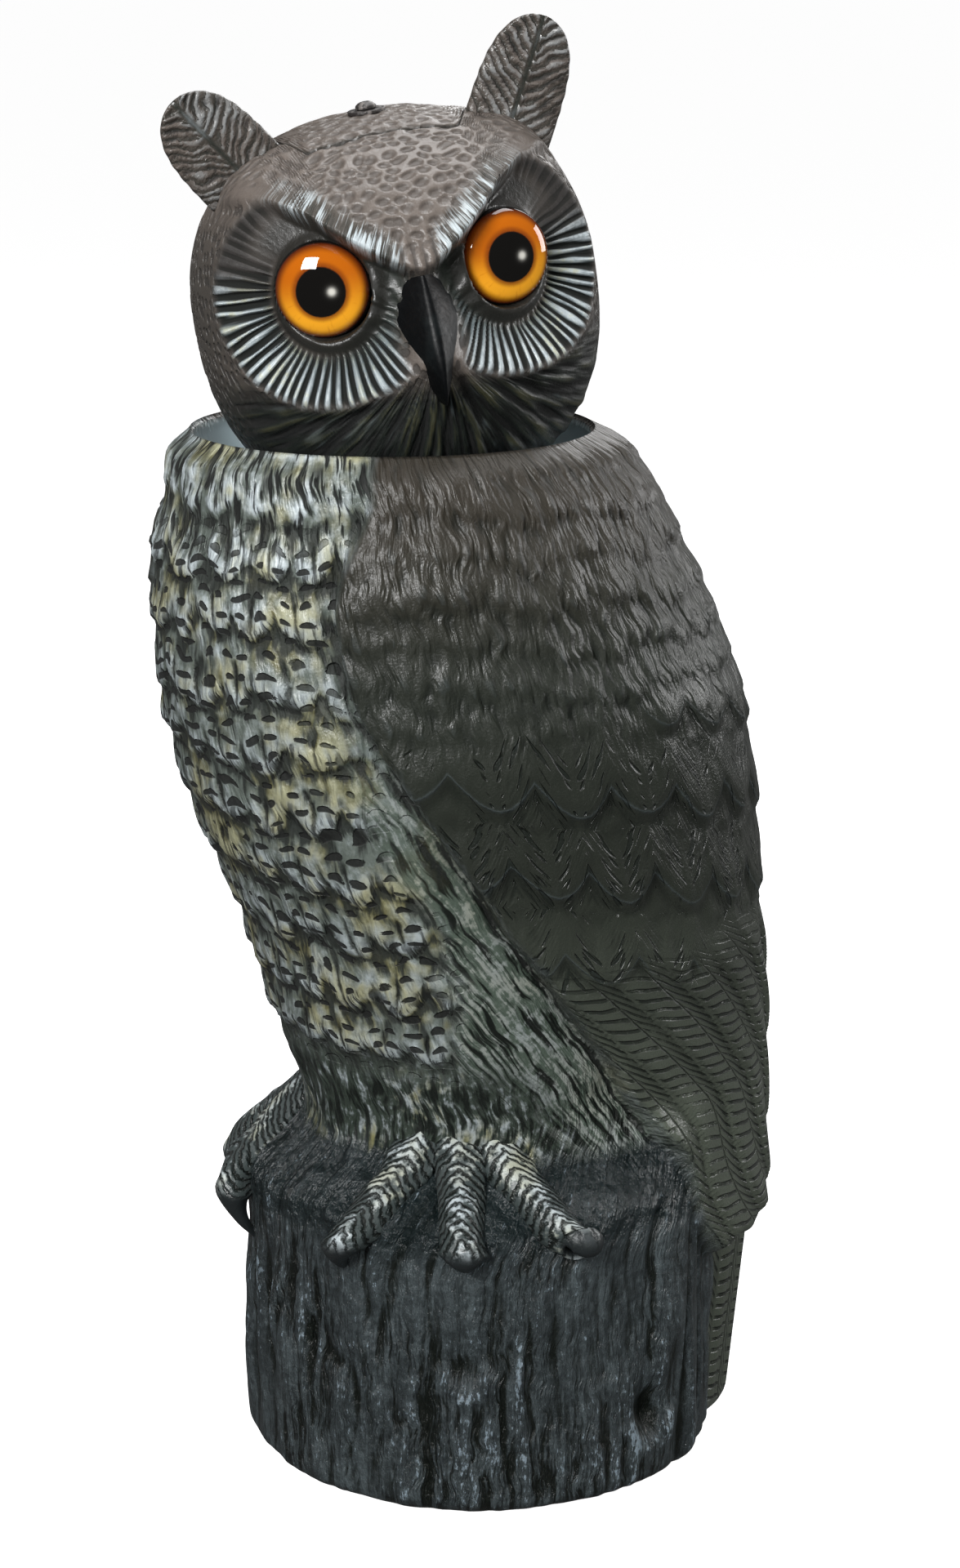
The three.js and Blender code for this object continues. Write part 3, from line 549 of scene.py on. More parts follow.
def body_surface(angle, z, carving):
    """Distance from the body's axis at an angle from the breast's middle line and a height, and
    how much each finish covers the place."""
    feather = carving.feather_depth
    degrees = np.abs(np.degrees(angle))
    turn = angle / (2 * np.pi) + 0.5
    axis = body_axis(z)
    edge = along(EDGE, z) + 0.7 * ripple(turn, z, 20, 10, 31)
    behind = ease(edge - WING_SOFTNESS, edge + WING_SOFTNESS, degrees)
    centre, width, depth = (along(SECTIONS, z, i) for i in (1, 2, 3))
    torso = ellipse_reach(angle, width, depth, centre - axis)
    bark_height = bark(angle, z, carving.bark_depth / MM) * lerp(0.4, 1, ease(0, 10, z))
    stump = ellipse_reach(angle, STUMP_RADIUS, STUMP_RADIUS, -axis) + bark_height

    from_edge = np.clip(1 - (edge - degrees) / FLANK_REACH, 0, 1)
    flank_depth = along(FLANK, z) * from_edge**2
    relief, beside, breast_row, breast_column = breast_relief(degrees, turn, z, edge)
    grown = feather * ease(LEG_TOP - 22, LEG_TOP - 8, z) * ease(RIM_TOP + 2, RIM_TOP - 5, z)
    breast = torso - flank_depth + grown * relief
    ledge = ease(STUMP_TOP, STUMP_TOP + LEDGE_RISE, z)
    front = lerp(stump, breast, ledge)

    squared = (np.abs(np.sin(angle)) / TAIL_HALF_WIDTH) ** TAIL_SQUARENESS
    squared = squared + (np.abs(np.cos(angle)) / TAIL_REACH) ** TAIL_SQUARENESS
    tail = lerp(TAIL_TAPER, 1, np.minimum(1, z / WING_TIP)) * squared ** (-1 / TAIL_SQUARENESS)
    strip = (degrees - TAIL_STRIP_START) / TAIL_STRIP_WIDTH
    inner = strip - np.floor(strip) - 0.5
    tail_relief = feather * (1.6 * shingle(-strip) - 0.8 * bell(inner * 9) - 1.4) * ease(3, 10, z)
    is_tail = ease(-0.6, 0.6, tail - stump)
    low_back = np.maximum(stump, tail + tail_relief)
    over = lerp(smooth_max(torso, stump - bark_height, 6), torso, ease(LEG_TOP - 18, LEG_TOP + 6, z))
    plumes, row, column, vane, primary, tuft = wing_relief(degrees, turn, z)
    plumes = plumes * feather * ease(RIM_TOP + 2, RIM_TOP - 6, z)
    lip = WING_LIP * np.exp(np.minimum(0, edge - degrees) / WING_LIP_REACH)
    height, half_height, offset, half_width, rise = SHOULDER
    shoulder = rise * bell(np.hypot((degrees - edge - offset) / half_width, (z - height) / half_height))
    wing = over + plumes + lip * ease(RIM_TOP, RIM_TOP - LIP_FADE, z) + shoulder
    tip_edge = 3.5 * np.abs(np.sin(np.radians(degrees) * 12))
    wing_share = ease(WING_TIP - TAIL_STEP - tip_edge, WING_TIP - tip_edge, z)
    back = lerp(low_back, wing, wing_share)
    below = np.maximum(0, BASE_ROUND - z)
    inset = BASE_ROUND - np.sqrt(BASE_ROUND**2 - below**2)
    reach = lerp(front, back, behind) - inset

    feathered = behind * np.maximum(wing_share, is_tail)
    woody = (1 - feathered) * (1 - ease(STUMP_TOP + 22, STUMP_TOP + 31, z) * (1 - behind))
    fine = lerp(lerp(bark_height, grown * relief, ledge),
                lerp(lerp(bark_height, tail_relief, is_tail), plumes, wing_share), behind)
    in_tail = (1 - wing_share) * is_tail
    marks = {
        "wing": feathered, "stump": woody, "flank": beside * ledge * (1 - behind),
        "row": lerp(breast_row, row, behind > 0.5),
        "column": lerp(breast_column, column, behind > 0.5),
        "vane": lerp(vane, strip, in_tail > 0.5),
        "barbed": behind * np.maximum(primary * wing_share, in_tail),
        "tuft": behind * tuft, "edge_run": (edge - degrees) * 2,
        "ridge": relief_mark(fine, 3, 1.1),
    }
    return reach, marks


def blurred(field, radius):
    """Mean of a field over a square window, wrapping round the columns."""
    kernel = np.ones(2 * radius + 1) / (2 * radius + 1)
    wide = np.pad(field, ((0, 0), (radius, radius)), mode="wrap")
    wide = np.apply_along_axis(np.convolve, 1, wide, kernel, "valid")
    tall = np.pad(wide, ((radius, radius), (0, 0)), mode="edge")
    return np.apply_along_axis(np.convolve, 0, tall, kernel, "valid")


def relief_mark(field, radius, depth):
    """How far each place stands proud of its surroundings, from -1 to 1."""
    return np.clip((field - blurred(field, radius)) / depth, -1, 1)


def body_grid(carving):
    """The body as rings from the middle of the underside up the outside, over the lip and down
    the dish to its middle. Columns are angles from the back round to the back."""
    angle = np.linspace(-np.pi, np.pi, BODY_COLUMNS, endpoint=False)[None, :]
    low = BASE_ROUND * np.array([0, 0.06, 0.2, 0.4, 0.7])
    heights = np.concatenate([low, np.linspace(BASE_ROUND, RIM_TOP - 1, BODY_ROWS)])[:, None]
    reach, marks = body_surface(angle, heights, carving)
    axis = body_axis(heights)
    level = np.broadcast_to(heights, reach.shape)
    side = np.stack([reach * np.sin(angle), axis - reach * np.cos(angle), level], -1)
    under = side[:1] * np.array([0.15, 0.4, 0.7, 0.9])[:, None, None]
    t = np.linspace(0, 1, 7)[:, None]
    lip_radius = CREST_RADIUS - RIM_LIP * (1 - np.cos(t * np.pi / 2))
    lip_height = RIM_TOP - RIM_LIP * np.sin(t * np.pi / 2) ** 2
    wall = [
        [0, NECK_RADIUS, RIM_TOP - RIM_LIP],
        [1, 0.965 * NECK_RADIUS, DISH_FLOOR + 0.72 * NECK_DEPTH],
        [2, 0.89 * NECK_RADIUS, DISH_FLOOR + 0.42 * NECK_DEPTH],
        [3, 0.74 * NECK_RADIUS, DISH_FLOOR + 0.1 * NECK_DEPTH],
        [4, 0.6 * NECK_RADIUS, DISH_FLOOR],
        [5, 0.2 * NECK_RADIUS, DISH_FLOOR],
    ]
    s = np.linspace(0, 5, 18)[1:, None]
    radius = np.concatenate([lip_radius, along(wall, s)])
    height = np.concatenate([lip_height, along(wall, s, 2)])
    ones = np.ones_like(angle)
    inside = np.stack(
        [radius * np.sin(angle), -NECK_FORWARD - radius * np.cos(angle), height * ones], -1)
    points = np.concatenate([under, side, inside])
    rows = len(points)
    chart = np.zeros((rows, BODY_COLUMNS + 1, 2))
    chart[..., 0] = np.linspace(0, 1, BODY_COLUMNS + 1)
    chart[..., 1] = np.clip(points[:, :1, 2], 0, RIM_TOP) / RIM_TOP
    full = {}
    for name, field in marks.items():
        bottom = np.repeat(field[:1], len(under), 0)
        top = np.repeat(field[-1:], len(inside), 0)
        full[name] = np.concatenate([bottom, np.broadcast_to(field, reach.shape), top])
    dish = np.zeros(points.shape[:2])
    dish[-len(s):] = ease(0, 0.4, s)
    full["dish"] = dish
    full["ridge"] = full["ridge"] * (1 - dish)
    return shell(points, chart, full)


def toe_grid(bearing, drop):
    """One toe and its claw: sections across a path that bends over the ledge, broad at the root
    and lumpy, with a cuff round the root of the smooth, slim claw. A claw that hangs less than
    LONG_CLAW has less of both. For the paint, row counts the scales and column is the place
    across."""
    table = np.array(TOE_PATH, float)
    table[:, 0] = STUMP_TOP + np.where(table[:, 0] < 0, table[:, 0] * drop, table[:, 0])
    table[:, 1] += STUMP_RADIUS
    stations = np.column_stack([np.arange(len(table)), table])
    s = np.linspace(0, len(table) - 1, TOE_ROWS)
    up, out, half_width, half_depth = (along(stations, s, i) for i in (1, 2, 3, 4))
    slim = ease(*CLAW_START, s)
    wide = lerp(1.45, 1, ease(0, 4.5, s)) * lerp(1, 0.6, slim)
    half_width = np.maximum(half_width * wide, 0.7)
    half_depth = np.maximum(half_depth * lerp(1, 0.75, slim), 0.7)
    step = np.stack([np.gradient(out), np.gradient(up)], -1)
    run = np.cumsum(np.hypot(step[:, 0], step[:, 1]))[:, None]
    step = step / np.linalg.norm(step, axis=1, keepdims=True)
    root = 1 - s / s[-1]
    turned_to = np.radians(lerp(bearing, np.sign(bearing) * FOOT_ANGLE, TOE_FAN * root**2))[:, None]
    t = full_turn(TOE_COLUMNS)
    scaled = ease(*SCALES_END, s)[:, None]
    lump = scaled * (1.3 * noise(t * 2 + 9, run / 8 + bearing % 40, 61) - 0.3)
    cuff, half_cuff = CLAW_CUFF
    lump = min(1, drop / LONG_CLAW) * (lump + 0.8 * bell((s - cuff) / half_cuff)[:, None])
    across = (half_width[:, None] + lump) * np.cos(t)
    lifted = (half_depth[:, None] + lump) * np.sin(t)
    radial = out[:, None] - lifted * step[:, 1:2]
    upward = up[:, None] + lifted * step[:, 0:1]
    sine, cosine = np.sin(turned_to), np.cos(turned_to)
    points = np.stack(
        [radial * sine + across * cosine, across * sine - radial * cosine, upward], -1)
    ones = np.ones(points.shape[:2])
    marks = {
        "foot": ones, "bearing": bearing * ones, "claw": ones * (1 - scaled), "ridge": lump * 0.6,
        "row": (run - 9 * np.abs(np.cos(t)) ** 1.2) / 3.8, "column": 6 * np.cos(t) + bearing,
    }
    chart = np.broadcast_to(TOE_CHART_PLACE, (len(s), TOE_COLUMNS + 1, 2))
    return shell(points, chart, marks)


def to_world(points):
    """From the head's own frame, centred on the head with Z along the pivot, to the owl's."""
    c, s = np.cos(HEAD_TURN), np.sin(HEAD_TURN)
    turn = np.array([[c, -s, 0], [s, c, 0], [0, 0, 1]])
    c, s = np.cos(HEAD_LEAN), np.sin(HEAD_LEAN)
    lean = np.array([[1, 0, 0], [0, c, -s], [0, s, c]])
    return points @ (lean @ turn).T + HEAD_CENTRE


def turned_grid(profile, columns):
    """A surface of revolution about Z from radius and height pairs, whose first and last points
    lie on the axis."""
    profile = np.array(profile, float)
    a = full_turn(columns)
    r, z = profile[:, 0][:, None], profile[:, 1][:, None]
    return np.stack([r * np.cos(a), r * np.sin(a), z + 0 * a], -1)


def rounded(profile, radius):
    """A profile with each corner between straight runs cut by two short chamfers."""
    points = [np.array(profile[0], float)]
    for before, corner, after in zip(profile, profile[1:], profile[2:]):
        before, corner, after = (np.array(p, float) for p in (before, corner, after))
        back, on = before - corner, after - corner
        r = min(radius, 0.45 * np.linalg.norm(back), 0.45 * np.linalg.norm(on))
        start, end = corner + unit(back) * r, corner + unit(on) * r
        for t in (0, 0.25, 0.5, 0.75, 1):
            points.append((1 - t) ** 2 * start + 2 * t * (1 - t) * corner + t * t * end)
    points.append(np.array(profile[-1], float))
    return points


EYE_DIRECTION = unit(np.array(EYE_PLACE))
EYE_OUTWARD = unit(np.cross([0, 0, 1], EYE_DIRECTION))
EYE_UPWARD = np.cross(EYE_DIRECTION, EYE_OUTWARD)


def plain_head(latitude):
    """Reach of the flattened ball of revolution about the pivot, by latitude in radians."""
    up = latitude > 0
    power = np.where(up, CROWN_ROUNDNESS, JAW_ROUNDNESS)
    level = np.cos(latitude) / HEAD_RADIUS
    upright = np.abs(np.sin(latitude)) / np.where(up, CROWN_HEIGHT, JAW_DEPTH)
    return (level**power + upright**power) ** (-1 / power)


def head_form(u):
    """Smooth head without its carving: reach along unit vectors u, with the places that the
    carving needs."""
    x, y, z = np.abs(u[..., 0]), u[..., 1], np.clip(u[..., 2], -1, 1)
    bearing = np.degrees(np.arctan2(x, -y))
    latitude = np.degrees(np.arcsin(z))
    side = np.stack([x, y, z], -1)
    from_eye = np.degrees(np.arccos(np.clip(side @ EYE_DIRECTION, -1, 1)))
    round_eye = np.arctan2(side @ EYE_UPWARD, side @ EYE_OUTWARD)
    edge = DISC_RADIUS + DISC_STRETCH * np.cos(round_eye) ** 2
    hollow = -DISC_DEPTH * (1 - ease(LID_RADIUS + 2, edge, from_eye))
    lid = LID_RISE * bell((from_eye - LID_RADIUS) / LID_WIDTH)
    rim = DISC_RIM_RISE * bell((from_eye - edge) / DISC_RIM_WIDTH)
    above = latitude - np.interp(bearing, *np.array(BROW, float).T)
    ridge = np.exp(-np.maximum(0, above) / BROW_FADE) * ease(*BROW_END, bearing)
    over = ease(-BROW_EDGE, BROW_EDGE, above)
    face = lerp(hollow + lid + rim, BROW_RISE * ridge, over)
    middle, half_height, half_width, rise = MUZZLE
    muzzle = rise * bell(np.hypot(bearing / half_width, (latitude - middle) / half_height))
    mound = EAR_MOUND * np.exp((side @ unit(np.array(EAR_BASE)) - 1) / EAR_MOUND_SPREAD)
    reach = plain_head(np.radians(latitude)) + ease(*FACE_END, bearing) * (face + muzzle) + mound
    places = {
        "bearing": bearing, "latitude": latitude, "from_eye": from_eye, "round_eye": round_eye,
        "edge": edge, "above": above, "over": over,
    }
    return reach, places


def pits(u, v, seed, jitter=0.45):
    """Distance from each place to the nearest of points that lie one to a unit cell, in
    staggered rows, each moved by chance."""
    chance = jitter * (np.random.default_rng(seed).random((2, PIT_TABLE, PIT_TABLE)) - 0.5)
    nearest = np.full(np.shape(u), np.inf)
    row = np.floor(v).astype(int)
    for rise in (-1, 0, 1):
        near_row = row + rise
        stagger = 0.5 * (near_row % 2)
        column = np.floor(u - stagger).astype(int)
        for step in (-1, 0, 1):
            near = column + step
            shift = chance[:, near % PIT_TABLE, near_row % PIT_TABLE]
            across = near + stagger + 0.5 + shift[0] - u
            along_v = near_row + 0.5 + shift[1] - v
            nearest = np.minimum(nearest, np.hypot(across, along_v))
    return nearest


def head_carving(u, carving):
    """Carving on top of the smooth head: rays round the eyes, strokes along the brow's margin,
    flutes at its point, strands under the beak, dimples on the crown and dashes on the cheeks.
    Returns the final reach, the carving alone and the finishes."""
    reach, at = head_form(u)
    bearing, above, from_eye, ray = at["bearing"], at["above"], at["from_eye"], at["round_eye"]
    p = u * reach[..., None]
    side = np.sign(p[..., 0])
    front_arc = np.degrees(np.arctan2(p[..., 2], -p[..., 1])) * FOREHEAD_ARC
    under_brow = 1 - at["over"]
    on_face = ease(100, 80, bearing)
    face = under_brow * on_face

    upper = ease(0.3, 0.7, np.sin(ray)) * ease(LID_RADIUS + 15, LID_RADIUS + 9, from_eye)
    wander = 0.8 * noise(ray * 5 + 3 * side, from_eye / 18, 41) + 0.012 * from_eye
    wander = wander + 0.5 * noise(ray * 16 + 3 * side, from_eye / 7, 53)
    rays = np.cos(carving.disc_flutes * ray + RAY_SWAY * wander)
    in_disc = ease(LID_RADIUS + 3, LID_RADIUS + 6, from_eye)
    in_disc = in_disc * ease(at["edge"] + 1, at["edge"] - 2, from_eye) * face
    in_disc = in_disc * ease(8, 14, bearing + 0.3 * np.maximum(0, -at["latitude"]))
    low_rays = 1 - 0.8 * ease(-0.05, 0.35, np.sin(ray))
    flutes = carving.flute_depth / MM * rays * in_disc * low_rays * (1 - upper)
    lid_fold = 1.6 * upper * bell((from_eye - LID_RADIUS - 5) / 4) * face

    crown = ease(3, 9, above) * ease(SEAM_SIDE_Y + 6, SEAM_SIDE_Y - 2, p[..., 1])
    crown = np.maximum(crown, ease(26, 34, at["latitude"]) * ease(60, 75, bearing))
    shift = 2.2 * noise(p[..., 0] / 9 + 40, front_arc / 9 + 40, 47)

    across_brow = bearing * 1.1 + 0.35 * above + 60 * (side + 1)
    margin = ease(-1, 1, above) * ease(11, 4, above) * ease(56, 30, bearing) * ease(3, 8, bearing)
    brow = 0.5 * margin * noise(across_brow / 1.7, above / 16 + 20, 48)
    point = ease(11, 5, bearing) * ease(15, 5, above) * ease(-1, 1, above)
    brow = brow + 0.5 * point * np.cos(2 * np.pi * p[..., 0] / 4.2 + wander)

    fan = np.arctan2(p[..., 0], -(p[..., 2] + 4))
    down = np.hypot(p[..., 0], p[..., 2] + 4)
    below = ease(-6, -20, at["latitude"]) * ease(80, 56, bearing)
    below = below * ease(at["edge"] - 1, at["edge"] + 2, from_eye)
    strands = noise(fan * 17 + 40, down / 20, 43) + 0.6 * noise(fan * 34 + 80, down / 12, 44)
    chin = 1.1 * strands * below

    lores = ease(24, 12, bearing) * under_brow * ease(-34, -20, at["latitude"])
    lore_rays = 0.5 * lores * (1 - in_disc) * np.cos(fan * 19 + wander) * ease(12, 20, down)

    plain = (1 - in_disc) * (1 - below) * ease(LID_RADIUS + 6, LID_RADIUS + 10, from_eye)
    plain = plain * np.maximum(under_brow, 1 - on_face)
    swell = 0.4 * noise(p[..., 0] / 6 + 40, front_arc / 5 + 40, 45) * crown
    dimple_u = (p[..., 0] + shift) / DIMPLE_CELL[0]
    dimple_v = (front_arc + shift) / DIMPLE_CELL[1]
    dimple = pits(dimple_u, dimple_v, 61)
    dash_u = (bearing * CHEEK_ARC + shift) / DASH_CELL[0]
    dash_v = (at["latitude"] * CHEEK_ARC + shift) / DASH_CELL[1]
    dash = pits(dash_u, dash_v, 62, 0.7)
    dents = -0.6 * carving.dimple_depth / MM * ease(*DIMPLE_EDGE, dimple) * crown
    dents = dents - DASH_DEPTH * ease(*DASH_EDGE, dash) * plain * (1 - crown)

    socket = -SOCKET_DEPTH * ease(*SOCKET_EDGE, from_eye) * on_face
    fine = flutes + brow + chin + lore_rays + swell + dents
    marks = {
        "disc": in_disc * (1 - 0.85 * upper), "brow": margin, "chin": below,
        "lid": np.maximum(ease(LID_RADIUS + 6.5, LID_RADIUS + 2.5, from_eye), upper) * face,
        "shade": face * ease(44, 16, bearing) * ease(at["edge"], 20, from_eye),
        "low": ease(-4, -30, at["latitude"]),
        "side": ease(46, 76, bearing) * ease(44, 14, at["latitude"]),
        "eye_out": from_eye * np.cos(ray), "eye_up": from_eye * np.sin(ray), "wander": wander,
        "fan": fan, "drop": down, "brow_run": across_brow, "crown": crown,
        "plain": plain * (1 - crown), "dimple": dimple,
        # Distance to the pits moved down, which the paint uses to cut a painted shadow into each dimple's
        # top
        "dimple_lip": pits(dimple_u, dimple_v + DIMPLE_SHADE_SHIFT, 61), "dash": dash,
    }
    return reach + fine + lid_fold + socket, fine, marks


def seam_y(x, z, shift):
    """Y of the seam between the two head shells: it crosses the crown in front of the ears'
    backs and drops down the sides behind them."""
    over = 1 - ease(SEAM_CROWN_HALF_WIDTH, SEAM_EAR_HALF_WIDTH, np.abs(x))
    return lerp(SEAM_SIDE_Y, SEAM_CROWN_Y, over * ease(*SEAM_SHOULDER, z)) + shift


def head_point(tilt, swing, shift):
    """Point of the smooth head seen from the middle of the seam: tilt is the angle from the
    middle plane towards an ear and swing the angle about the line between the ears, from the
    face (0) over the crown (90). Found by stepping along the line of sight."""
    start = np.array([0, SEAM_SIDE_Y + shift, 0])
    sight = np.stack(
        [np.sin(tilt) + 0 * swing, -np.cos(tilt) * np.cos(swing), np.cos(tilt) * np.sin(swing)], -1)
    far = np.full(sight.shape[:2] + (1,), SIGHT_START)
    for _ in range(SIGHT_STEPS):
        p = start + far * sight
        size = np.linalg.norm(p, axis=-1, keepdims=True)
        u = p / size
        miss = size[..., 0] - head_form(u)[0]
        far = far - (miss / np.maximum(0.5, (u * sight).sum(-1)))[..., None]
    p = start + far * sight
    return p / np.linalg.norm(p, axis=-1, keepdims=True), p


def seam_swing(tilt, shift):
    """Swing at which the surface meets the seam over the crown, for each tilt, by halving."""
    low, high = (np.full_like(tilt, np.radians(end)) for end in SEAM_SEARCH)
    for _ in range(SEAM_HALVINGS):
        middle = (low + high) / 2
        p = head_point(tilt, middle, shift)[1]
        in_front = p[..., 1] < seam_y(p[..., 0], p[..., 2], shift)
        low = np.where(in_front, middle, low)
        high = np.where(in_front, high, middle)
    return (low + high) / 2


def head_shell(face, rows, columns, carving):
    """Front or rear shell of the head: arcs from the seam under the jaw round to the seam over
    the crown, one for each tilt from ear to ear, closed by a wall across the inside."""
    shift = -SEAM_HALF_GAP if face else SEAM_HALF_GAP
    tilt = np.radians(np.linspace(-90, 90, rows + 2)[1:-1])[:, None]
    top = seam_swing(tilt, shift)
    share = np.linspace(0, 1, columns)[None, :]
    bottom = -np.pi / 2 if face else 3 * np.pi / 2
    swing = lerp(bottom, top, share)
    u = head_point(tilt, swing, shift)[0]
    reach, fine, marks = head_carving(u, carving)
    edge_fade = np.minimum(
        ease(0, SEAM_BEVEL_SHARE, share), ease(1, 1 - SEAM_BEVEL_SHARE, share))
    reach = reach - SEAM_BEVEL * (1 - edge_fade) + (0 if face else NAPE_RISE)
    outer = u * reach[..., None]
    marks["ridge"] = np.clip((fine - blurred(fine, 4)) / 0.55, -1, 1)
    t = np.linspace(0, 1, 14)[1:-1][None, :, None]
    wall = lerp(outer[:, -1:], outer[:, :1], t)
    points = np.concatenate([outer, wall], 1)
    full = {}
    for name, field in marks.items():
        field = field * np.ones(outer.shape[:2])
        full[name] = np.concatenate([field, np.zeros(wall.shape[:2])], 1)
    # Where painted shade goes at the seam: the bevelled edges, and the inside wall seen through the gap
    full["gap"] = np.concatenate([1 - edge_fade + 0 * tilt, np.ones(wall.shape[:2])], 1)
    return shell(to_world(points), None, full)


def ear_grid(tip):
    """Ear tuft: leaf-shaped sections along its axis, hollow in front, with a raised vein and
    overlapping strands that fan out from it."""
    tip = np.array(tip, float)
    side = np.sign(tip[0])
    base = np.array([side * EAR_BASE[0], EAR_BASE[1], EAR_BASE[2]])
    axis = tip - base
    outward = np.array([axis[2], 0, -axis[0]]) / np.hypot(axis[0], axis[2])
    backward = unit(np.cross(axis, outward))
    s = (-0.25 + 1.25 * (1 - (1 - np.linspace(0, 1, EAR_ROWS)) ** 1.35))[:, None] * 0.998
    t = full_turn(EAR_COLUMNS)
    c, w = np.cos(t), np.sin(t)
    half_width = EAR_HALF_WIDTH * np.sqrt(np.maximum(0.002, 1 - np.maximum(0, s) ** 4))
    half = lerp(EAR_THICKNESS, EAR_TIP_THICKNESS, np.maximum(0, s)) / 2
    half = half * np.minimum(1, half_width / 6)
    hollow = np.where(w < 0, 1 - 0.75 * (1 - c * c) ** 0.8, 1)
    across = half_width * c
    bend = 0.5 * noise(s * 7 + 5 * side, across / 7 + 50, 52)
    strand = s * EAR_LENGTH / EAR_STRAND - (np.abs(across) / EAR_STRAND) ** 0.9 + 0.5 * (c > 0) + bend
    tuft = 0.5 * noise(s * 14 + 3 * side, across / 3.6 + 50, 51)
    fine = (0.9 * (shingle(strand) - 0.6) + tuft) * ease(0.6, 2.6, np.abs(across))
    fine = fine * ease(-0.14, 0.05, s) * lerp(1, 0.3, ease(0.8, 1, np.abs(c)))
    fine = fine + 1.3 * bell(across / 1.4) * ease(1, 0.8, s)
    lift = half * w * hollow + fine * np.sign(w) * np.abs(w) ** 0.6
    margin = 1 + 0.008 * np.sin(s * 44) * ease(0.1, 0.4, s)
    points = base + axis * s[..., None] + outward * (across * margin)[..., None]
    points = points + backward * lift[..., None]
    ones = np.ones(points.shape[:2])
    marks = {
        "ridge": np.clip(fine, -1, 1), "ear": ones, "eye_out": 60 * ones,
        "strand": s * EAR_LENGTH / EAR_STRAND + 0.5 * (c > 0) + bend + 0.3 * tuft,
        "across": across * ones,
    }
    return shell(to_world(points), None, marks)


def beak_grid():
    """Beak: wedge-shaped sections with a sharp keel, narrow between the brows, widest at the
    mouth and hooked down to the tip."""
    table = np.array(BEAK, float)[::-1]
    stations = np.column_stack([np.arange(len(table)), table])
    s = np.linspace(0, len(table) - 1, BEAK_ROWS)
    z, ridge, half_width = (along(stations, s, i)[:, None] for i in (1, 2, 3))
    half_width = np.maximum(half_width, 0.8) * lerp(1, 1.6, ease(-26, -8, z))
    t = full_turn(BEAK_COLUMNS)
    across = np.cos(t)
    forward = np.where(np.sin(t) > 0, 1 - np.abs(across) ** 1.35, 0)
    back = np.where(np.sin(t) < 0, 4 * np.sin(t), 0) * ease(-28, -20, z)
    y = -lerp(np.maximum(BEAK_ROOT, ridge - 2.2 * half_width - 6), ridge, forward) - back
    points = np.stack([half_width * across, y, z + 0 * t], -1)
    return shell(to_world(points), None, {"ridge": forward - 0.5})


def eye_grid(side):
    """Eye: an elliptical dome on a short plug. Marks give the distance from the axis and the
    height above it in millimetres."""
    t = np.linspace(0, np.pi / 2, EYE_ROWS)
    dome = [[EYE_RADIUS * np.cos(a), -EYE_DOME + EYE_DOME * np.sin(a)] for a in t]
    back = -EYE_DOME - EYE_PLUG
    profile = [[0, back], [EYE_RADIUS * 0.96, back], [EYE_RADIUS, back + 0.8]] + dome
    local = turned_grid(profile, EYE_COLUMNS)
    look = np.array(
        [side * np.sin(EYE_SPLAY), -np.cos(EYE_SPLAY) * np.cos(EYE_TILT),
         np.cos(EYE_SPLAY) * np.sin(EYE_TILT)])
    right = unit(np.cross([0, 0, 1], look))
    upward = np.cross(look, right)
    place = np.array([side * EYE_PLACE[0], EYE_PLACE[1], EYE_PLACE[2]])
    points = place + local[..., :1] * right + local[..., 1:2] * upward + local[..., 2:] * look
    away = np.hypot(local[..., 0], local[..., 1])
    marks = {"away": away, "upward": local[..., 1], "sideways": local[..., 0]}
    return shell(to_world(points[1:-1]), None, {k: v[1:-1] for k, v in marks.items()})


def inside_out(vertices, quads):
    """Whether the faces of a closed surface point inwards, by the sign of its volume."""
    a, b, c, d = (vertices[quads[:, i]] for i in range(4))
    return (np.cross(a, b) * c).sum() + (np.cross(a, c) * d).sum() < 0


def shell(points, chart=None, marks=None):
    """A closed surface from rings of points, each end gathered into one point. Turned so that
    its faces point outwards."""
    rows, columns = points.shape[:2]
    flat = points.reshape(-1, 3)
    vertices = np.concatenate([[points[0].mean(0)], flat, [points[-1].mean(0)]])
    last = len(vertices) - 1
    index = 1 + np.arange(rows * columns).reshape(rows, columns)
    follow = np.roll(index, -1, 1)
    quads = np.stack([index[:-1], follow[:-1], follow[1:], index[1:]], -1).reshape(-1, 4)
    first = np.stack([np.zeros(columns, int), follow[0], index[0]], -1)
    final = np.stack([np.full(columns, last), index[-1], follow[-1]], -1)
    if chart is None:
        chart = np.zeros((rows, columns + 1, 2))
    here, after = chart[:, :-1], chart[:, 1:]
    quad_uv = np.stack([here[:-1], after[:-1], after[1:], here[1:]], 2).reshape(-1, 4, 2)
    middle = (here + after) / 2
    first_uv = np.stack([middle[0], after[0], here[0]], 1)
    final_uv = np.stack([middle[-1], here[-1], after[-1]], 1)
    if inside_out(vertices, quads):
        quads, first, final = quads[:, ::-1], first[:, ::-1], final[:, ::-1]
        quad_uv, first_uv, final_uv = quad_uv[:, ::-1], first_uv[:, ::-1], final_uv[:, ::-1]
    fields = {}
    for name, field in (marks or {}).items():
        field = np.broadcast_to(field, (rows, columns))
        fields[name] = np.concatenate([[field[0].mean()], field.ravel(), [field[-1].mean()]])
    return {
        "vertices": vertices, "quads": quads, "tris": np.concatenate([first, final]),
        "quad_uv": quad_uv, "tri_uv": np.concatenate([first_uv, final_uv]), "marks": fields,
    }


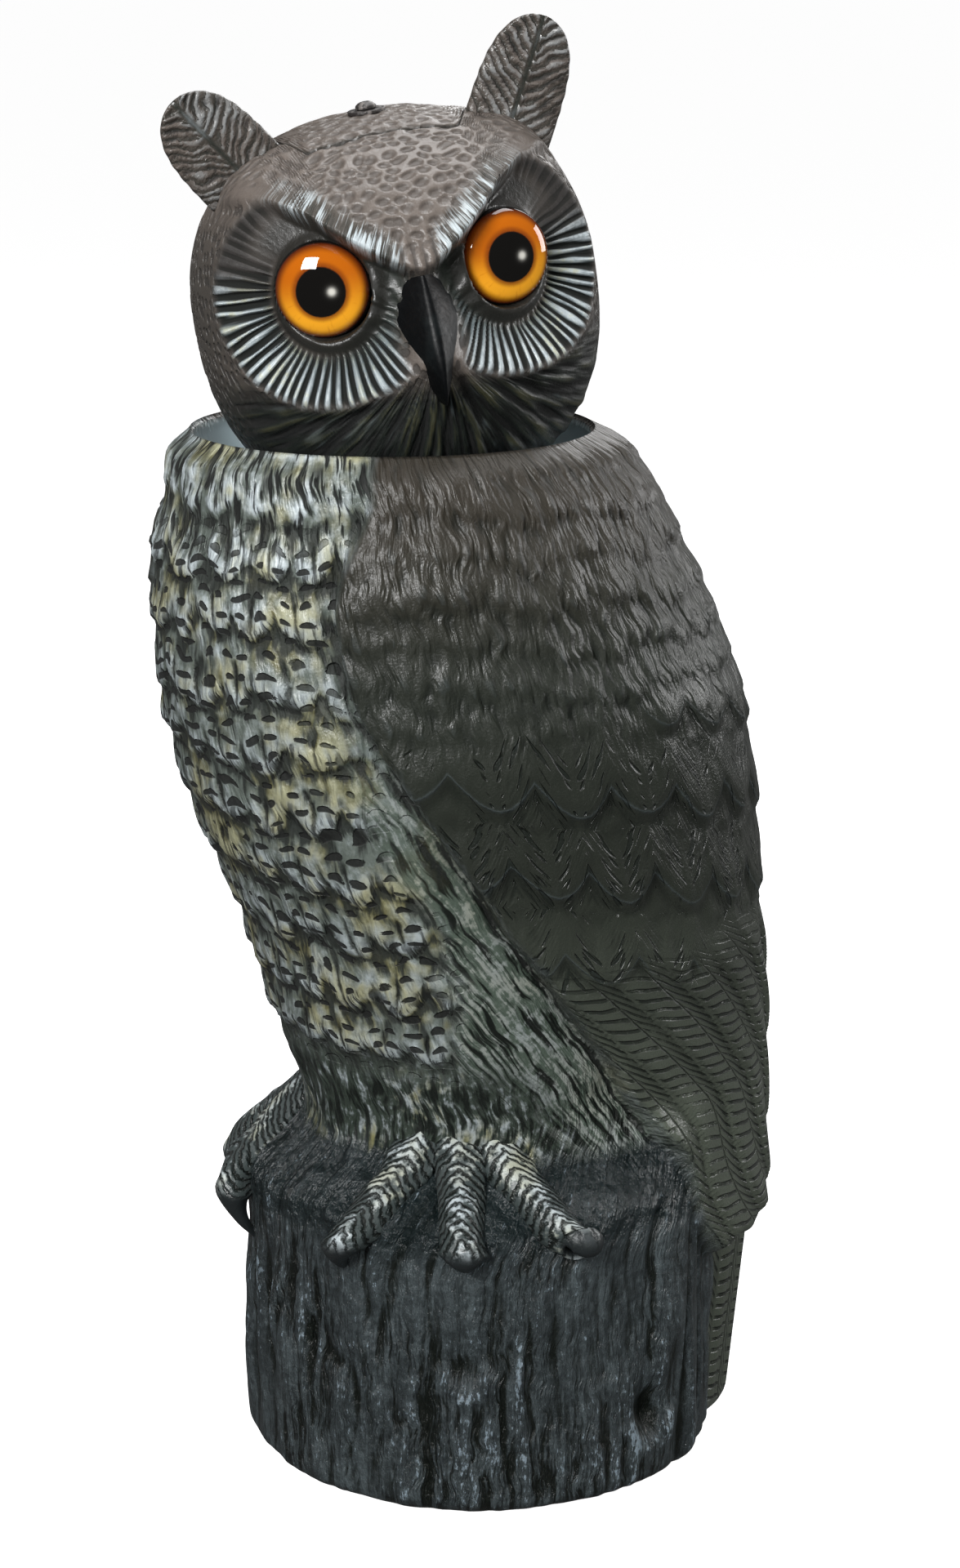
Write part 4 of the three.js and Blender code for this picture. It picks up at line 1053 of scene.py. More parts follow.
def hoop(points):
    """A ring-shaped closed surface: the rings of points join end to end."""
    rows, columns = points.shape[:2]
    index = np.arange(rows * columns).reshape(rows, columns)
    beside, below = np.roll(index, -1, 1), np.roll(index, -1, 0)
    corner = np.roll(below, -1, 1)
    quads = np.stack([index, beside, corner, below], -1).reshape(-1, 4)
    flat = points.reshape(-1, 3)
    if inside_out(flat, quads):
        quads = quads[:, ::-1]
    return {
        "vertices": flat, "quads": quads, "tris": np.zeros((0, 3), int),
        "quad_uv": np.zeros((len(quads), 4, 2)), "tri_uv": np.zeros((0, 3, 2)),
        "marks": {"ridge": np.zeros(len(flat))},
    }


def make_piece(name, shells, materials, body, stands_for):
    """One object from closed shells; each shell comes with the number of its material."""
    names = sorted({mark for part, _ in shells for mark in part["marks"]})
    vertices, loops, sizes, uvs, kinds = [], [], [], [], []
    fields = {mark: [] for mark in names}
    count = 0
    for part, kind in shells:
        vertices.append(part["vertices"])
        for faces, uv in ((part["quads"], part["quad_uv"]), (part["tris"], part["tri_uv"])):
            loops.append((faces + count).ravel())
            sizes.append(np.full(len(faces), faces.shape[1]))
            uvs.append(uv.reshape(-1, 2))
            kinds.append(np.full(len(faces), kind))
        for mark in names:
            fields[mark].append(part["marks"].get(mark, np.zeros(len(part["vertices"]))))
        count += len(part["vertices"])
    vertices, loops, sizes = (np.concatenate(x) for x in (vertices, loops, sizes))
    mesh = bpy.data.meshes.new(name)
    mesh.vertices.add(len(vertices))
    mesh.vertices.foreach_set("co", (vertices * MM).astype(np.float32).ravel())
    mesh.loops.add(len(loops))
    mesh.loops.foreach_set("vertex_index", loops.astype(np.int32))
    mesh.polygons.add(len(sizes))
    starts = np.concatenate([[0], np.cumsum(sizes)[:-1]])
    mesh.polygons.foreach_set("loop_start", starts.astype(np.int32))
    mesh.polygons.foreach_set("material_index", np.concatenate(kinds).astype(np.int32))
    mesh.polygons.foreach_set("use_smooth", np.ones(len(sizes), bool))
    layer = mesh.uv_layers.new(name="Chart")
    layer.data.foreach_set("uv", np.concatenate(uvs).astype(np.float32).ravel())
    for mark in names:
        attribute = mesh.attributes.new(mark, "FLOAT", "POINT")
        attribute.data.foreach_set("value", np.concatenate(fields[mark]).astype(np.float32))
    mesh.update(calc_edges=True)
    if mesh.validate(verbose=False):
        raise RuntimeError(f"{name} has faulty faces")
    for material in materials:
        mesh.materials.append(material)
    piece = bpy.data.objects.new(name, mesh)
    bpy.context.scene.collection.objects.link(piece)
    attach(piece, body)
    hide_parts(*stands_for)
    return piece


class Level:
    """A value socket that can stand in sums, products and powers; each adds a Math node."""

    def __init__(self, finish, socket):
        self.finish = finish
        self.socket = socket

    def join(self, operation, first, second=None):
        sockets = {0: first} if second is None else {0: first, 1: second}
        return self.finish.add("ShaderNodeMath", {"operation": operation}, sockets)

    def __add__(self, other):
        return self.join("ADD", self, other)

    __radd__ = __add__

    def __sub__(self, other):
        return self.join("SUBTRACT", self, other)

    def __rsub__(self, other):
        return self.join("SUBTRACT", other, self)

    def __mul__(self, other):
        return self.join("MULTIPLY", self, other)

    __rmul__ = __mul__

    def __truediv__(self, other):
        return self.join("DIVIDE", self, other)

    def __rtruediv__(self, other):
        return self.join("DIVIDE", other, self)

    def __mod__(self, other):
        return self.join("FLOORED_MODULO", self, other)

    def __abs__(self):
        return self.join("ABSOLUTE", self)

    def floor(self):
        return self.join("FLOOR", self)

    def fraction(self):
        return self.join("FRACT", self)

    def cosine(self):
        return self.join("COSINE", self)

    def root(self):
        return self.join("SQRT", self)

    def largest(self, other):
        return self.join("MAXIMUM", self, other)

    def bearing(self, across):
        """Angle in radians of the place that lies this far up and that far across."""
        return self.join("ARCTAN2", self, across)

    def step(self, low, high):
        """Smooth step from 0 at low to 1 at high."""
        settings = {"interpolation_type": "SMOOTHSTEP"}
        if low < high:
            return self.finish.add("ShaderNodeMapRange", settings, {0: self, 1: low, 2: high})
        return 1 - self.finish.add("ShaderNodeMapRange", settings, {0: self, 1: high, 2: low})

    def bell(self):
        """Bell curve of the value: one over one plus its square, squared."""
        near = 1 / (1 + self * self)
        return near * near


class Finish:
    """A material that is being mixed."""

    def __init__(self, name):
        self.material = bpy.data.materials.new(name)
        self.material.use_nodes = True
        self.tree = self.material.node_tree
        self.shader = self.tree.nodes["Principled BSDF"]

    def add(self, kind, settings=None, sockets=None, output=0):
        """Adds a node: first its settings, a ramp's stops among them, then the values or links
        of its sockets. Gives the chosen output."""
        node = self.tree.nodes.new(kind)
        for key, value in (settings or {}).items():
            if key == "stops":
                while len(node.color_ramp.elements) < len(value):
                    node.color_ramp.elements.new(0.5)
                for element, (place, colour) in zip(node.color_ramp.elements, value):
                    element.position = place
                    element.color = (*colour, 1)
            else:
                setattr(node, key, value)
        for key, value in (sockets or {}).items():
            self.put(node.inputs[key], value)
        return Level(self, node.outputs[output])

    def put(self, socket, value):
        if isinstance(value, Level):
            self.tree.links.new(value.socket, socket)
        elif isinstance(value, (tuple, list)) and len(value) == 3 and socket.type == "RGBA":
            socket.default_value = (*value, 1)
        else:
            socket.default_value = value

    def mark(self, name):
        """A value stored on the mesh's points."""
        return self.add("ShaderNodeAttribute", {"attribute_name": name}, output=2)

    def marks(self, names):
        return [self.mark(name) for name in names.split()]

    def spot(self):
        """Object coordinates."""
        return self.add("ShaderNodeTexCoord", output=3)

    def place(self, x, y, z=0.0):
        return self.add("ShaderNodeCombineXYZ", None, {0: x, 1: y, 2: z})

    def cloud(self, vector, scale=1.0, detail=2.0, rough=0.5):
        """Noise about 0, mostly from -0.6 to 0.6."""
        sockets = {"Vector": vector, "Scale": scale, "Detail": detail, "Roughness": rough}
        return (self.add("ShaderNodeTexNoise", None, sockets) - 0.5) * 2.4

    def mix(self, factor, first, second):
        sockets = {0: factor, 6: first, 7: second}
        return self.add("ShaderNodeMix", {"data_type": "RGBA"}, sockets, output=2)

    def layers(self, colour, *coats):
        """Lays coats over a colour, each after the share that it covers."""
        for share, coat in coats:
            colour = self.mix(share, colour, coat)
        return colour

    def surface(self, colour, roughness, height=None, depth=0.001, fixed=None):
        """Joins colour, roughness and, through Bump, the height to the shader; fixed holds the
        plain values of its other sockets."""
        self.put(self.shader.inputs["Base Color"], colour)
        self.put(self.shader.inputs["Roughness"], roughness)
        if height is not None:
            bump = self.add("ShaderNodeBump", None, {"Height": height, "Distance": depth})
            self.put(self.shader.inputs["Normal"], bump)
        for key, value in (fixed or {}).items():
            self.shader.inputs[key].default_value = value
        return self.material


def shade(colour, share):
    """A colour made darker or lighter."""
    return tuple(min(1.0, c * share) for c in colour)


def tinted(colour, *shares):
    """A colour with its red, green and blue made weaker or stronger one by one."""
    return tuple(c * share for c, share in zip(colour, shares))


def coats(colours, names):
    """The paints of those names as plain colours."""
    return [tuple(getattr(colours, name)) for name in names.split()]


def body_paint(colours):
    """Paint of the body. The dark ground coat shows in the hollows; by place there is frost and
    straw dry-brushed on the proud parts of the breast, umber with brown on the wings, slate on
    the stump, and plain plastic in the dish. The chart's U is the turn round the body and V the
    height; row and column number the feathers, and vane the primaries and the tail's strips."""
    f = Finish("carved_body")
    ground, frost, straw, brown, umber, slate = coats(colours, "ground frost straw brown umber slate")
    chart = f.add("ShaderNodeUVMap", {"uv_map": "Chart"})
    turn = f.add("ShaderNodeSeparateXYZ", None, {0: chart})
    level = Level(f, turn.socket.node.outputs[1]) * RIM_TOP
    spot = f.spot()
    ridge, wing, stump, foot, claw, flank, dish = f.marks("ridge wing stump foot claw flank dish")
    row, column, vane, barbed, tuft, edge_run = f.marks("row column vane barbed tuft edge_run")

    def grain(count, height, detail, rough=0.5, drift=None):
        """Noise with that many cells round the body, each of that height in millimetres."""
        run = turn * count if drift is None else turn * count + drift
        return f.cloud(f.place(run, level / height), 1.0, detail, rough)

    patch = f.cloud(spot, 30.0, 2.0)
    speckle = f.cloud(spot, 300.0, 3.0, 0.6)
    grit = f.cloud(spot, 1100.0, 2.0)
    sway = grain(44, 15, 1.0)
    strokes = grain(215, 12, 1.5, 0.5, 1.3 * sway)
    hairs = grain(520, 12, 2.0, 0.6, 2 * sway)

    # Place within a feather: away from its middle line, and down it
    place = column + (row.floor() % 2) / 2
    centre = place - (place + 0.5).floor()
    away = abs(centre)
    bow = abs((centre * np.pi).cosine())
    down = (row + (1 - bow) * 0.33).fraction()

    # Dark marks: pairs of moons, slits and fringes on the breast, gashes below the neck
    pair = (away * BREAST_FEATHER_BREADTH - 4.7 + 1.6 * speckle + 1.5 * sway) / 2.9
    stack = ((row * 3.3 + 0.5 * sway).fraction() - 0.55) * 7.5 / 1.9
    moon = (pair * pair + stack * stack + 1.5 * patch).step(1.3, 0.8) * stack.step(0.5, 0.25)
    split_line = (away * BREAST_FEATHER_BREADTH / 0.7 + speckle).bell() * down.step(0.2, 0.4)
    fringe = (strokes + 0.5 * hairs).step(0.05, -0.25) * down.step(0.6, 0.9)
    on_breast = level.step(176, 196) * level.step(416, 396) * (1 - flank) * (1 - wing) * (1 - foot)
    gash = (strokes + 0.6 * hairs).step(-0.12, -0.4) * level.step(388, 408) * (1 - wing)
    marking = (moon.largest(split_line * 0.75).largest(fringe * 0.8) * on_breast).largest(gash)

    # Breast, its long strokes beside the wings, and the legs
    strand = f.cloud(f.place(edge_run / 3.0 + sway, level / 24), 1.0, 2.0, 0.5)
    leg_share = level.step(200, 172) * (1 - wing)
    wave = grain(190, 15, 2.5, 0.6, 0.8 * sway) * leg_share
    tan = (f.cloud(spot, 30.0, 3.0, 0.65) + 0.25 * strokes).step(-0.1, 0.4)
    plateau = f.mix(tan, tinted(slate, 1.9, 1.8, 1.5), shade(straw, 0.27))
    pale = f.mix(tan * 0.75, shade(frost, 0.72), shade(straw, 0.72))
    proud = 0.8 * ridge + 0.5 * strokes + 0.5 * speckle + 0.5 * patch
    brushed = proud.step(-0.2, 0.65) * (0.6 + level.step(340, 425) * 0.4 + 0.3 * patch)
    hollow = (ridge + 0.6 * strokes + 0.4 * hairs).step(-0.1, -0.55) * (1 - wing) * (1 - stump)
    lift = level.step(300, 190)
    sidelong = f.layers(
        shade(ground, 0.3),
        ((strand + 0.3 * ridge).step(-0.25, 0.0), shade(ground, 3.2)),
        ((strand + 0.6 * speckle + 0.15 * lift).step(0.05, 0.45) * 0.75,
         f.mix(0.3 + 0.4 * patch, shade(frost, 0.45), shade(straw, 0.5))))
    leg = f.layers(
        shade(ground, 0.35),
        ((wave + 0.3 * hairs).step(-0.25, 0.1), shade(ground, 1.7)),
        ((wave + 0.5 * patch + 0.4 * speckle).step(0.0, 0.45) * 0.8,
         f.mix(tan, shade(frost, 0.55), shade(straw, 0.55))))
    breast = f.layers(
        plateau, (brushed, pale), (hollow * 0.9, shade(ground, 0.45)),
        (marking * 0.97, shade(ground, 0.16)), (flank, sidelong),
        (level.step(200, 176) * edge_run.step(30, 62), leg))

    # Wings and tail: ticks and rims on the coverts, slashes and a shaft on the primaries
    reach = away * COVERT_BREADTH
    barb = f.cloud(f.place((down * 38 + reach * 0.8) / 3.8, reach / 9, row.floor()), 1.0, 1.0)
    barb = barb * (1 - tuft) * (1 - barbed) * away.step(0.02, 0.08)
    barb = barb * (patch + 0.3 * sway).step(-0.6, 0.3)
    tick = barb.step(0.1, 0.24)
    inner = vane.fraction()
    slope = 0.6 * inner + 4.5 * (inner - 0.68).largest(0.0)
    comb = ((level / 5.6 + slope + 0.7 * patch) * (2 * np.pi)).cosine().step(-0.3, -0.85)
    comb = comb * inner.step(0.02, 0.12) * (1 - ((inner - PRIMARY_SHAFT) / 0.06).bell())
    shaft = ((inner - PRIMARY_SHAFT + 0.015 * speckle) / 0.022).bell() * barbed
    slash = comb * barbed * (patch + 0.5 * speckle).step(-0.7, 0.1)
    rim = ((down - 0.84 + 0.02 * speckle) / 0.022).bell() * (1 - tuft) * (1 - barbed) * wing
    worn = 0.6 * ridge + 0.8 * strokes * tuft + 0.9 * barb
    # Wing coat: umber, browner near the rim and lighter towards the bottom; the lower lightening is partly
    # the primaries' paint and partly painted light
    coat = f.layers(
        umber, (level.step(345, 440) * 0.9, tinted(brown, 0.2, 0.195, 0.165)),
        (level.step(280, 160), shade(umber, 4.0)), (worn.step(0.0, -0.8) * 0.6, shade(ground, 0.3)),
        (slash.largest(shaft).largest(tick) * 0.8, shade(ground, 0.45)),
        ((worn.step(0.35, 1.2) * 0.3).largest(rim * 0.4), shade(slate, 1.3)))

    # Stump: streaked grain with cracks, dark on the ledge, chalky on its ridges
    worn_patch = f.cloud(spot, 17.0, 2.0)
    carved = worn_patch.step(-0.25, 0.35)
    wood_grain = grain(160, 34, 5.0, 0.7, 0.5 * sway)
    splits = grain(62, 70, 4.0, 0.6, 0.3 * sway)
    crack = (splits / 0.09).bell() * (0.25 + 0.6 * carved) * stump
    dark_wood = (0.6 * ridge + 1.1 * wood_grain - 0.7 * crack).step(0.0, -0.7)
    streak = (wood_grain + 0.6 * speckle + 0.5 * patch).step(-0.3, 0.5)
    flecks = grain(520, 4, 3.0, 0.7)
    chalk = 0.4 * ridge + 1.1 * flecks + 0.5 * wood_grain + 0.45 * worn_patch + 0.4 * speckle
    chalk = (chalk - 0.6 * crack).step(0.42, 0.66)
    on_ledge = level.step(106, 122) * stump
    lump = f.cloud(spot, 85.0, 2.5)
    wood = f.layers(
        shade(slate, 0.5), (streak, shade(slate, 1.15)), (dark_wood, shade(ground, 0.3)),
        (on_ledge * (0.8 - 0.5 * lump), tinted(slate, 0.16, 0.22, 0.22)),
        (chalk * 0.6, tinted(frost, 0.5, 0.56, 0.62)))

    # Toes: scales in bands, brushed along the top, and dark claws
    band = (row + 0.55 * speckle + 0.8 * patch).fraction()
    band = band.step(0.0, 0.45) * band.step(1.0, 0.8)
    crest = 1 - abs((column - f.mark("bearing")) / 6)
    lit = (0.9 * speckle + 1.0 * patch + 0.5 * ridge + 1.0 * crest - 0.35).step(0.0, 0.6)
    scales = f.layers(
        shade(ground, 0.3), (band, f.mix(0.5, shade(slate, 1.2), shade(ground, 1.3))),
        (band * lit * 0.85, f.mix(tan * 0.6, shade(frost, 0.82), shade(straw, 0.7))),
        (claw, shade(slate, 0.25)))

    # All together
    plastic = f.mix(0.5 + 0.3 * speckle, shade(slate, 9.6), shade(slate, 10.4))
    colour = f.layers(breast, (wing, coat), (stump, wood), (foot, scales), (dish, plastic))
    rough = 0.36 + 0.1 * speckle + 0.5 * marking.largest(hollow * 0.7)
    rough = rough + wing * (0.1 * patch + 0.1 * tuft) - 0.1 * on_ledge
    fuzz = (1 - flank) * (1 - stump) * (1 - barbed * 0.9) * (1 - wing * (0.8 - 0.55 * tuft))
    fine = (0.6 * strokes + 0.15 * hairs + 0.3 * strokes * tuft) * fuzz * (1 - leg_share)
    fine = fine + 0.6 * strand * flank + 0.9 * wave * (1 - stump)
    fine = fine + (0.25 * barb - 0.8 * tick - 0.8 * slash) * wing - 1.1 * marking
    fine = fine + (0.9 * wood_grain * (0.6 + carved) + 0.5 * splits + 0.25 * flecks) * stump
    fine = fine + (1.8 * lump + 0.6 * speckle) * on_ledge + 0.7 * lump * stump
    fine = fine - 0.8 * crack + 0.15 * rim - 0.6 * shaft
    fine = (1 - foot) * fine + foot * (1 - claw) * 0.8 * band + 0.06 * grit
    return f.surface(colour, rough, fine * (1 - dish), BODY_BUMP, {"Specular IOR Level": 0.45})


def head_paint(colours, flutes, dimple):
    """Paint of the head: brown, darker in the carving; dimples on the crown with a painted shadow
    in the upper part of each, and dashes on the cheeks; frosted rays in the facial discs and
    strokes on the brow's margin; dark green strands under the beak. Eye_out and eye_up are degrees
    from the eye's axis, fan and drop place the strands, and dimple, dash and the dimple mark from
    pits moved down are distances to the nearest pit; the last one leaves the painted shadow."""
    f = Finish("carved_head")
    ground, frost, straw, brown, slate = coats(colours, "ground frost straw brown slate")
    ridge, disc, brow, chin, lid, shadow = f.marks("ridge disc brow chin lid shade")
    ear, gap, low, out, up, side = f.marks("ear gap low eye_out eye_up side")
    fan, drop, wander, brow_run, crown, plain = f.marks("fan drop wander brow_run crown plain")
    ear_strand, across = f.marks("strand across")
    spot = f.spot()
    patch = f.cloud(spot, 44.0, 2.0)
    speckle = f.cloud(spot, 420.0, 3.0, 0.6)
    grit = f.cloud(spot, 1500.0, 2.0)

    # Rays of the disc, strands under the beak, dimples, dashes, brow and ears
    away = (out * out + up * up).root()
    comb = (up.bearing(out) * flutes + RAY_SWAY * wander).cosine()
    rays = f.cloud(f.place(out / away * 14, up / away * 14, away / 30), 1.0, 2.0, 0.6)
    comb = comb + 1.2 * rays
    strand = f.cloud(f.place(fan * 17, drop / 18), 1.0, 1.5, 0.6)
    hollow = f.mark("dimple").step(*DIMPLE_EDGE) * crown
    # Pits moved down cover the lower part of each dimple; what is left above gets a painted shadow
    floor = f.mark("dimple_lip").step(0.5, 0.3)
    dimple_shadow = hollow * (1 - floor)
    dash = f.mark("dash").step(*DASH_EDGE) * plain
    brush = f.cloud(f.place(brow_run / 1.05, up / 14), 1.0, 2.5, 0.65)
    upper = up.step(0, 12)
    lap = (ear_strand - abs(across) / EAR_STRAND + 0.35 * speckle).fraction()
    lap = lap.step(0.0, 0.75) * lap.step(1.0, 0.9) * ear * abs(across).step(0.5, 1.8)
    vein = (across / 1.3).bell() * ear
    carved = (ridge + 0.3 * speckle).step(0.0, -0.8) * (1 - 0.5 * crown)
    # The carving's dark also takes in the dimples' painted shadow and the dashes
    carved = carved.largest(dimple_shadow * 0.8).largest(dash * 0.95)

    # Brown coat of the crown, cheeks and ears
    coat = f.layers(
        shade(brown, 0.6), (0.5 + 0.5 * patch, shade(brown, 0.82)),
        (side * 0.75, f.mix(0.4, shade(brown, 0.4), shade(ground, 0.8))),
        (low * 0.97, shade(ground, 0.3)), (carved * (0.75 + 0.2 * ear), shade(brown, 0.12)),
        (ear * (1 - lap + 0.5 * speckle) * 0.65, shade(ground, 0.5)),
        (vein * 0.7, shade(ground, 0.5)),
        # Frost dry-brushed on the ears' proud strokes, partly a painted highlight that stands in for their
        # gloss
        (ear * (0.6 * ridge + 0.7 * lap + 0.8 * patch).step(0.4, 1.2) * 0.4, shade(frost, 0.5)),
        ((ridge + 0.3 * speckle).step(0.3, 1.0) * (1 - ear) * 0.25, shade(brown, 1.5)))

    # Strands under the beak, and the discs' silver on olive
    dark = f.layers(
        shade(ground, 0.08), ((strand + 0.5 * ridge).step(-0.3, 0.3), shade(ground, 0.45)),
        ((strand + 0.4 * ridge).step(0.1, 0.7) * 0.45, shade(straw, 0.15)),
        ((strand + 0.6 * patch).step(0.3, 0.8) * 0.45, shade(slate, 1.2)))
    olive = f.mix((up + 4 * patch).step(6, -10), shade(brown, 0.1), shade(slate, 1.7))
    lit = (up + 4 * patch).step(9, -2) * (1 - 0.6 * shadow) * (0.3 + 0.7 * away.step(20, 29))
    silver = comb.step(-0.1, 0.7) * lit * (0.7 + 0.9 * patch + 0.5 * speckle)
    tinge = away.step(24, 20).largest((patch + 0.5 * speckle).step(0.0, 0.5) * 0.6)
    fluted = f.layers(
        olive, (comb.step(0.3, -0.35) * (1 - 0.5 * upper), shade(ground, 0.2)),
        (silver, f.mix(tinge, shade(frost, 0.82), shade(straw, 0.7))))

    # All together
    frosted = brow * (1.6 * brush + 0.3 * ridge + 1.2 * patch + 0.02).step(-0.1, 0.4)
    colour = f.layers(
        coat, (shadow, shade(ground, 0.55)), (chin, dark), (disc, fluted),
        (lid * 0.92, f.mix(0.5, shade(ground, 0.35), shade(brown, 0.1))),
        (brow * (0.5 - 0.8 * brush), shade(ground, 0.7)), (frosted * 0.9, shade(frost, 0.78)),
        # Painted shade in the seam between the two shells
        (gap * 0.7, shade(ground, 0.3)))
    crevice = disc * comb.step(0.3, -0.4) + carved + chin * (1 - strand) * 0.5
    rough = 0.38 + 0.12 * speckle + 0.4 * crevice + 0.35 * disc * upper - 0.1 * ear
    fine = 0.15 * speckle + 0.06 * grit + 0.9 * comb * disc * (1 - 0.85 * upper)
    fine = fine + 1.2 * strand * chin + 1.1 * lap
    fine = fine - (dimple / HEAD_BUMP) * hollow * 0.5 - 0.8 * dash + 1.0 * brush * brow
    return f.surface(colour, rough, fine, HEAD_BUMP, {"Specular IOR Level": 0.45})


def beak_paint():
    """Black horn with a faint bluish bloom."""
    f = Finish("black_horn")
    spot = f.spot()
    bloom = f.cloud(spot, 60.0, 3.0)
    grain = f.cloud(spot, 500.0, 2.0)
    colour = f.mix(bloom.step(0.0, 0.3) * 0.6, paint(4, 5, 6), paint(13, 17, 18))
    fixed = {"Specular IOR Level": 0.15}
    return f.surface(colour, 0.46 + 0.12 * grain, bloom + 0.2 * grain, SMALL_BUMP, fixed)


def eye_paint(amber, pupil):
    """Iris and pupil under clear gloss: a black pupil with a painted glint beside its middle, a
    pale spot painted for the light that a thick clear eye focuses there, a brown ring round it,
    amber that is deeper above and yellower below, fine rays, and a dark rim."""
    f = Finish("amber_eye")
    away, upward, sideways = f.marks("away upward sideways")
    spot = f.spot()
    rays = f.cloud(f.place(upward.bearing(sideways) * 9, away / 6), 1.0, 2.0)
    low = (upward + 2 * f.cloud(spot, 60.0)).step(7, -12)
    # Painted glint: a pale spot painted beside the pupil's middle for the light that the clear dome
    # focuses there
    right, down, spread = PAINTED_GLINT_SPOT
    painted_glint = (sideways - right) * (sideways - right) + (upward + down) * (upward + down)
    colour = f.layers(
        shade(amber, 0.44), (low, tinted(amber, 0.82, 1.5, 2.8)),
        ((away - pupil).step(2.6, 0.2) * 0.8, paint(96, 40, 8)),
        (rays.step(0.1, 0.7) * 0.3, shade(amber, 0.4)),
        (away.step(*IRIS_EDGE), paint(74, 28, 6)),
        (away.step(pupil + 0.35, pupil - 0.35), paint(8, 7, 6)),
        (away.step(*EYE_RIM), paint(10, 9, 8)),
        ((painted_glint / spread).bell() * 0.75, paint(196, 194, 186)))
    clear = {"Specular IOR Level": 0.0, "Coat Weight": 1.0, "Coat Roughness": 0.03}
    return f.surface(colour, 0.35, fixed=clear)


def hardware_paint():
    """Dark enamel on metal, worn to a duller grey in spots."""
    f = Finish("dark_enamel")
    spot = f.spot()
    wear = f.cloud(spot, 300.0, 4.0, 0.7)
    colour = f.mix(wear.step(0.05, 0.25), paint(46, 43, 42), paint(98, 93, 90))
    return f.surface(colour, 0.42 + 0.3 * wear, wear, SMALL_BUMP, {"Metallic": 0.3})


def material(name, maker, *values):
    """The material of that name, made on its first use."""
    return bpy.data.materials.get(name) or maker(*values)


def head_coat(scene):
    carving = scene.owl_carving
    return material(
        "carved_head", head_paint, scene.owl_paint, carving.disc_flutes, carving.dimple_depth)


class OWL_OT_body(bpy.types.Operator):
    """Body: stump, tail, wings, breast and toes moulded in one, with the dish for the head"""

    bl_idname = "owl.body"
    bl_label = "Body"

    def execute(self, context):
        carving = context.scene.owl_carving
        shells = [(body_grid(carving), 0)]
        shells += [(toe_grid(bearing, drop), 0) for bearing, drop in TOES]
        well = SHANK_RADIUS + CLEARANCE
        boss = rounded(
            [[0.01, BOSS_TOP - 2 * BOSS_HEIGHT], [BOSS_RADIUS, BOSS_TOP - 2 * BOSS_HEIGHT],
             [BOSS_RADIUS, BOSS_TOP], [well, BOSS_TOP], [well, BOSS_TOP - SCREW_DEPTH - CLEARANCE],
             [0.01, BOSS_TOP - SCREW_DEPTH - CLEARANCE]], 0.8)
        local = turned_grid(boss, BOSS_COLUMNS)
        shells.append((shell(to_world(local), None, {"dish": np.ones(local.shape[:2])}), 0))
        coat = material("carved_body", body_paint, context.scene.owl_paint)
        make_piece("owl_body", shells, [coat], "stand", ["body"])
        return {"FINISHED"}


class OWL_OT_head_face(bpy.types.Operator):
    """Face shell: facial discs, brow, forehead, cheeks, ear tufts and beak"""

    bl_idname = "owl.head_face"
    bl_label = "Face shell"

    def execute(self, context):
        carving = context.scene.owl_carving
        shells = [(head_shell(True, FACE_ROWS, FACE_COLUMNS, carving), 0)]
        shells += [(ear_grid(tip), 0) for tip in (LEFT_EAR_TIP, RIGHT_EAR_TIP)]
        shells.append((beak_grid(), 1))
        finishes = [head_coat(context.scene), material("black_horn", beak_paint)]
        make_piece("owl_head_face", shells, finishes, "head", ["head_face"])
        return {"FINISHED"}


class OWL_OT_head_back(bpy.types.Operator):
    """Rear shell of the head, from the seam over the crown to the nape"""

    bl_idname = "owl.head_back"
    bl_label = "Rear shell"

    def execute(self, context):
        part = head_shell(False, NAPE_ROWS, NAPE_COLUMNS, context.scene.owl_carving)
        coat = head_coat(context.scene)
        make_piece("owl_head_back", [(part, 0)], [coat], "head", ["head_back"])
        return {"FINISHED"}


class OWL_OT_eyes(bpy.types.Operator):
    """Both eyes: glossy domes with amber irises"""

    bl_idname = "owl.eyes"
    bl_label = "Eyes"

    def execute(self, context):
        pupil = context.scene.owl_carving.pupil_radius / MM
        amber = tuple(context.scene.owl_paint.amber)
        coat = material("amber_eye", eye_paint, amber, pupil)
        for name, side in (("eye_left", 1), ("eye_right", -1)):
            make_piece("owl_" + name, [(eye_grid(side), 0)], [coat], "head", [name])
        return {"FINISHED"}


class OWL_OT_pivot(bpy.types.Operator):
    """Pivot: the screw through the crown and its washer"""

    bl_idname = "owl.pivot"
    bl_label = "Pivot screw and washer"

    def execute(self, context):
        coat = material("dark_enamel", hardware_paint)
        foot = BOSS_TOP - SCREW_DEPTH
        top = SCREW_SEAT + SCREW_HEAD_HEIGHT
        screw = [
            [0.01, foot], [SHANK_RADIUS * 0.5, foot + 0.3], [SHANK_RADIUS, foot + 2],
            [SHANK_RADIUS, SCREW_SEAT], [SCREW_HEAD_RADIUS, SCREW_SEAT],
            [SCREW_HEAD_RADIUS, SCREW_SEAT + 1.2], [SCREW_HEAD_RADIUS * 0.75, top - 0.5],
            [SCREW_HEAD_RADIUS * 0.45, top], [1.1, top], [0.9, top - 1.1], [0.01, top - 1.3],
        ]
        local = turned_grid(rounded(screw, 0.35), SCREW_COLUMNS)
        part = shell(to_world(local), None, {"ridge": np.zeros(local.shape[:2])})
        make_piece("owl_pivot_screw", [(part, 0)], [coat], "stand", ["pivot_screw"])
        bore, r = SHANK_RADIUS + CLEARANCE, WASHER_RADIUS
        low, high = CROWN_SEAT, CROWN_SEAT + WASHER_THICKNESS
        ring = rounded(
            [[(bore + r) / 2, low], [r, low], [r, high], [bore, high], [bore, low],
             [(bore + r) / 2, low]], 0.3)
        local = turned_grid(ring[:-1], WASHER_COLUMNS)
        part = hoop(to_world(local))
        make_piece("owl_pivot_washer", [(part, 0)], [coat], "head", ["pivot_washer"])
        return {"FINISHED"}


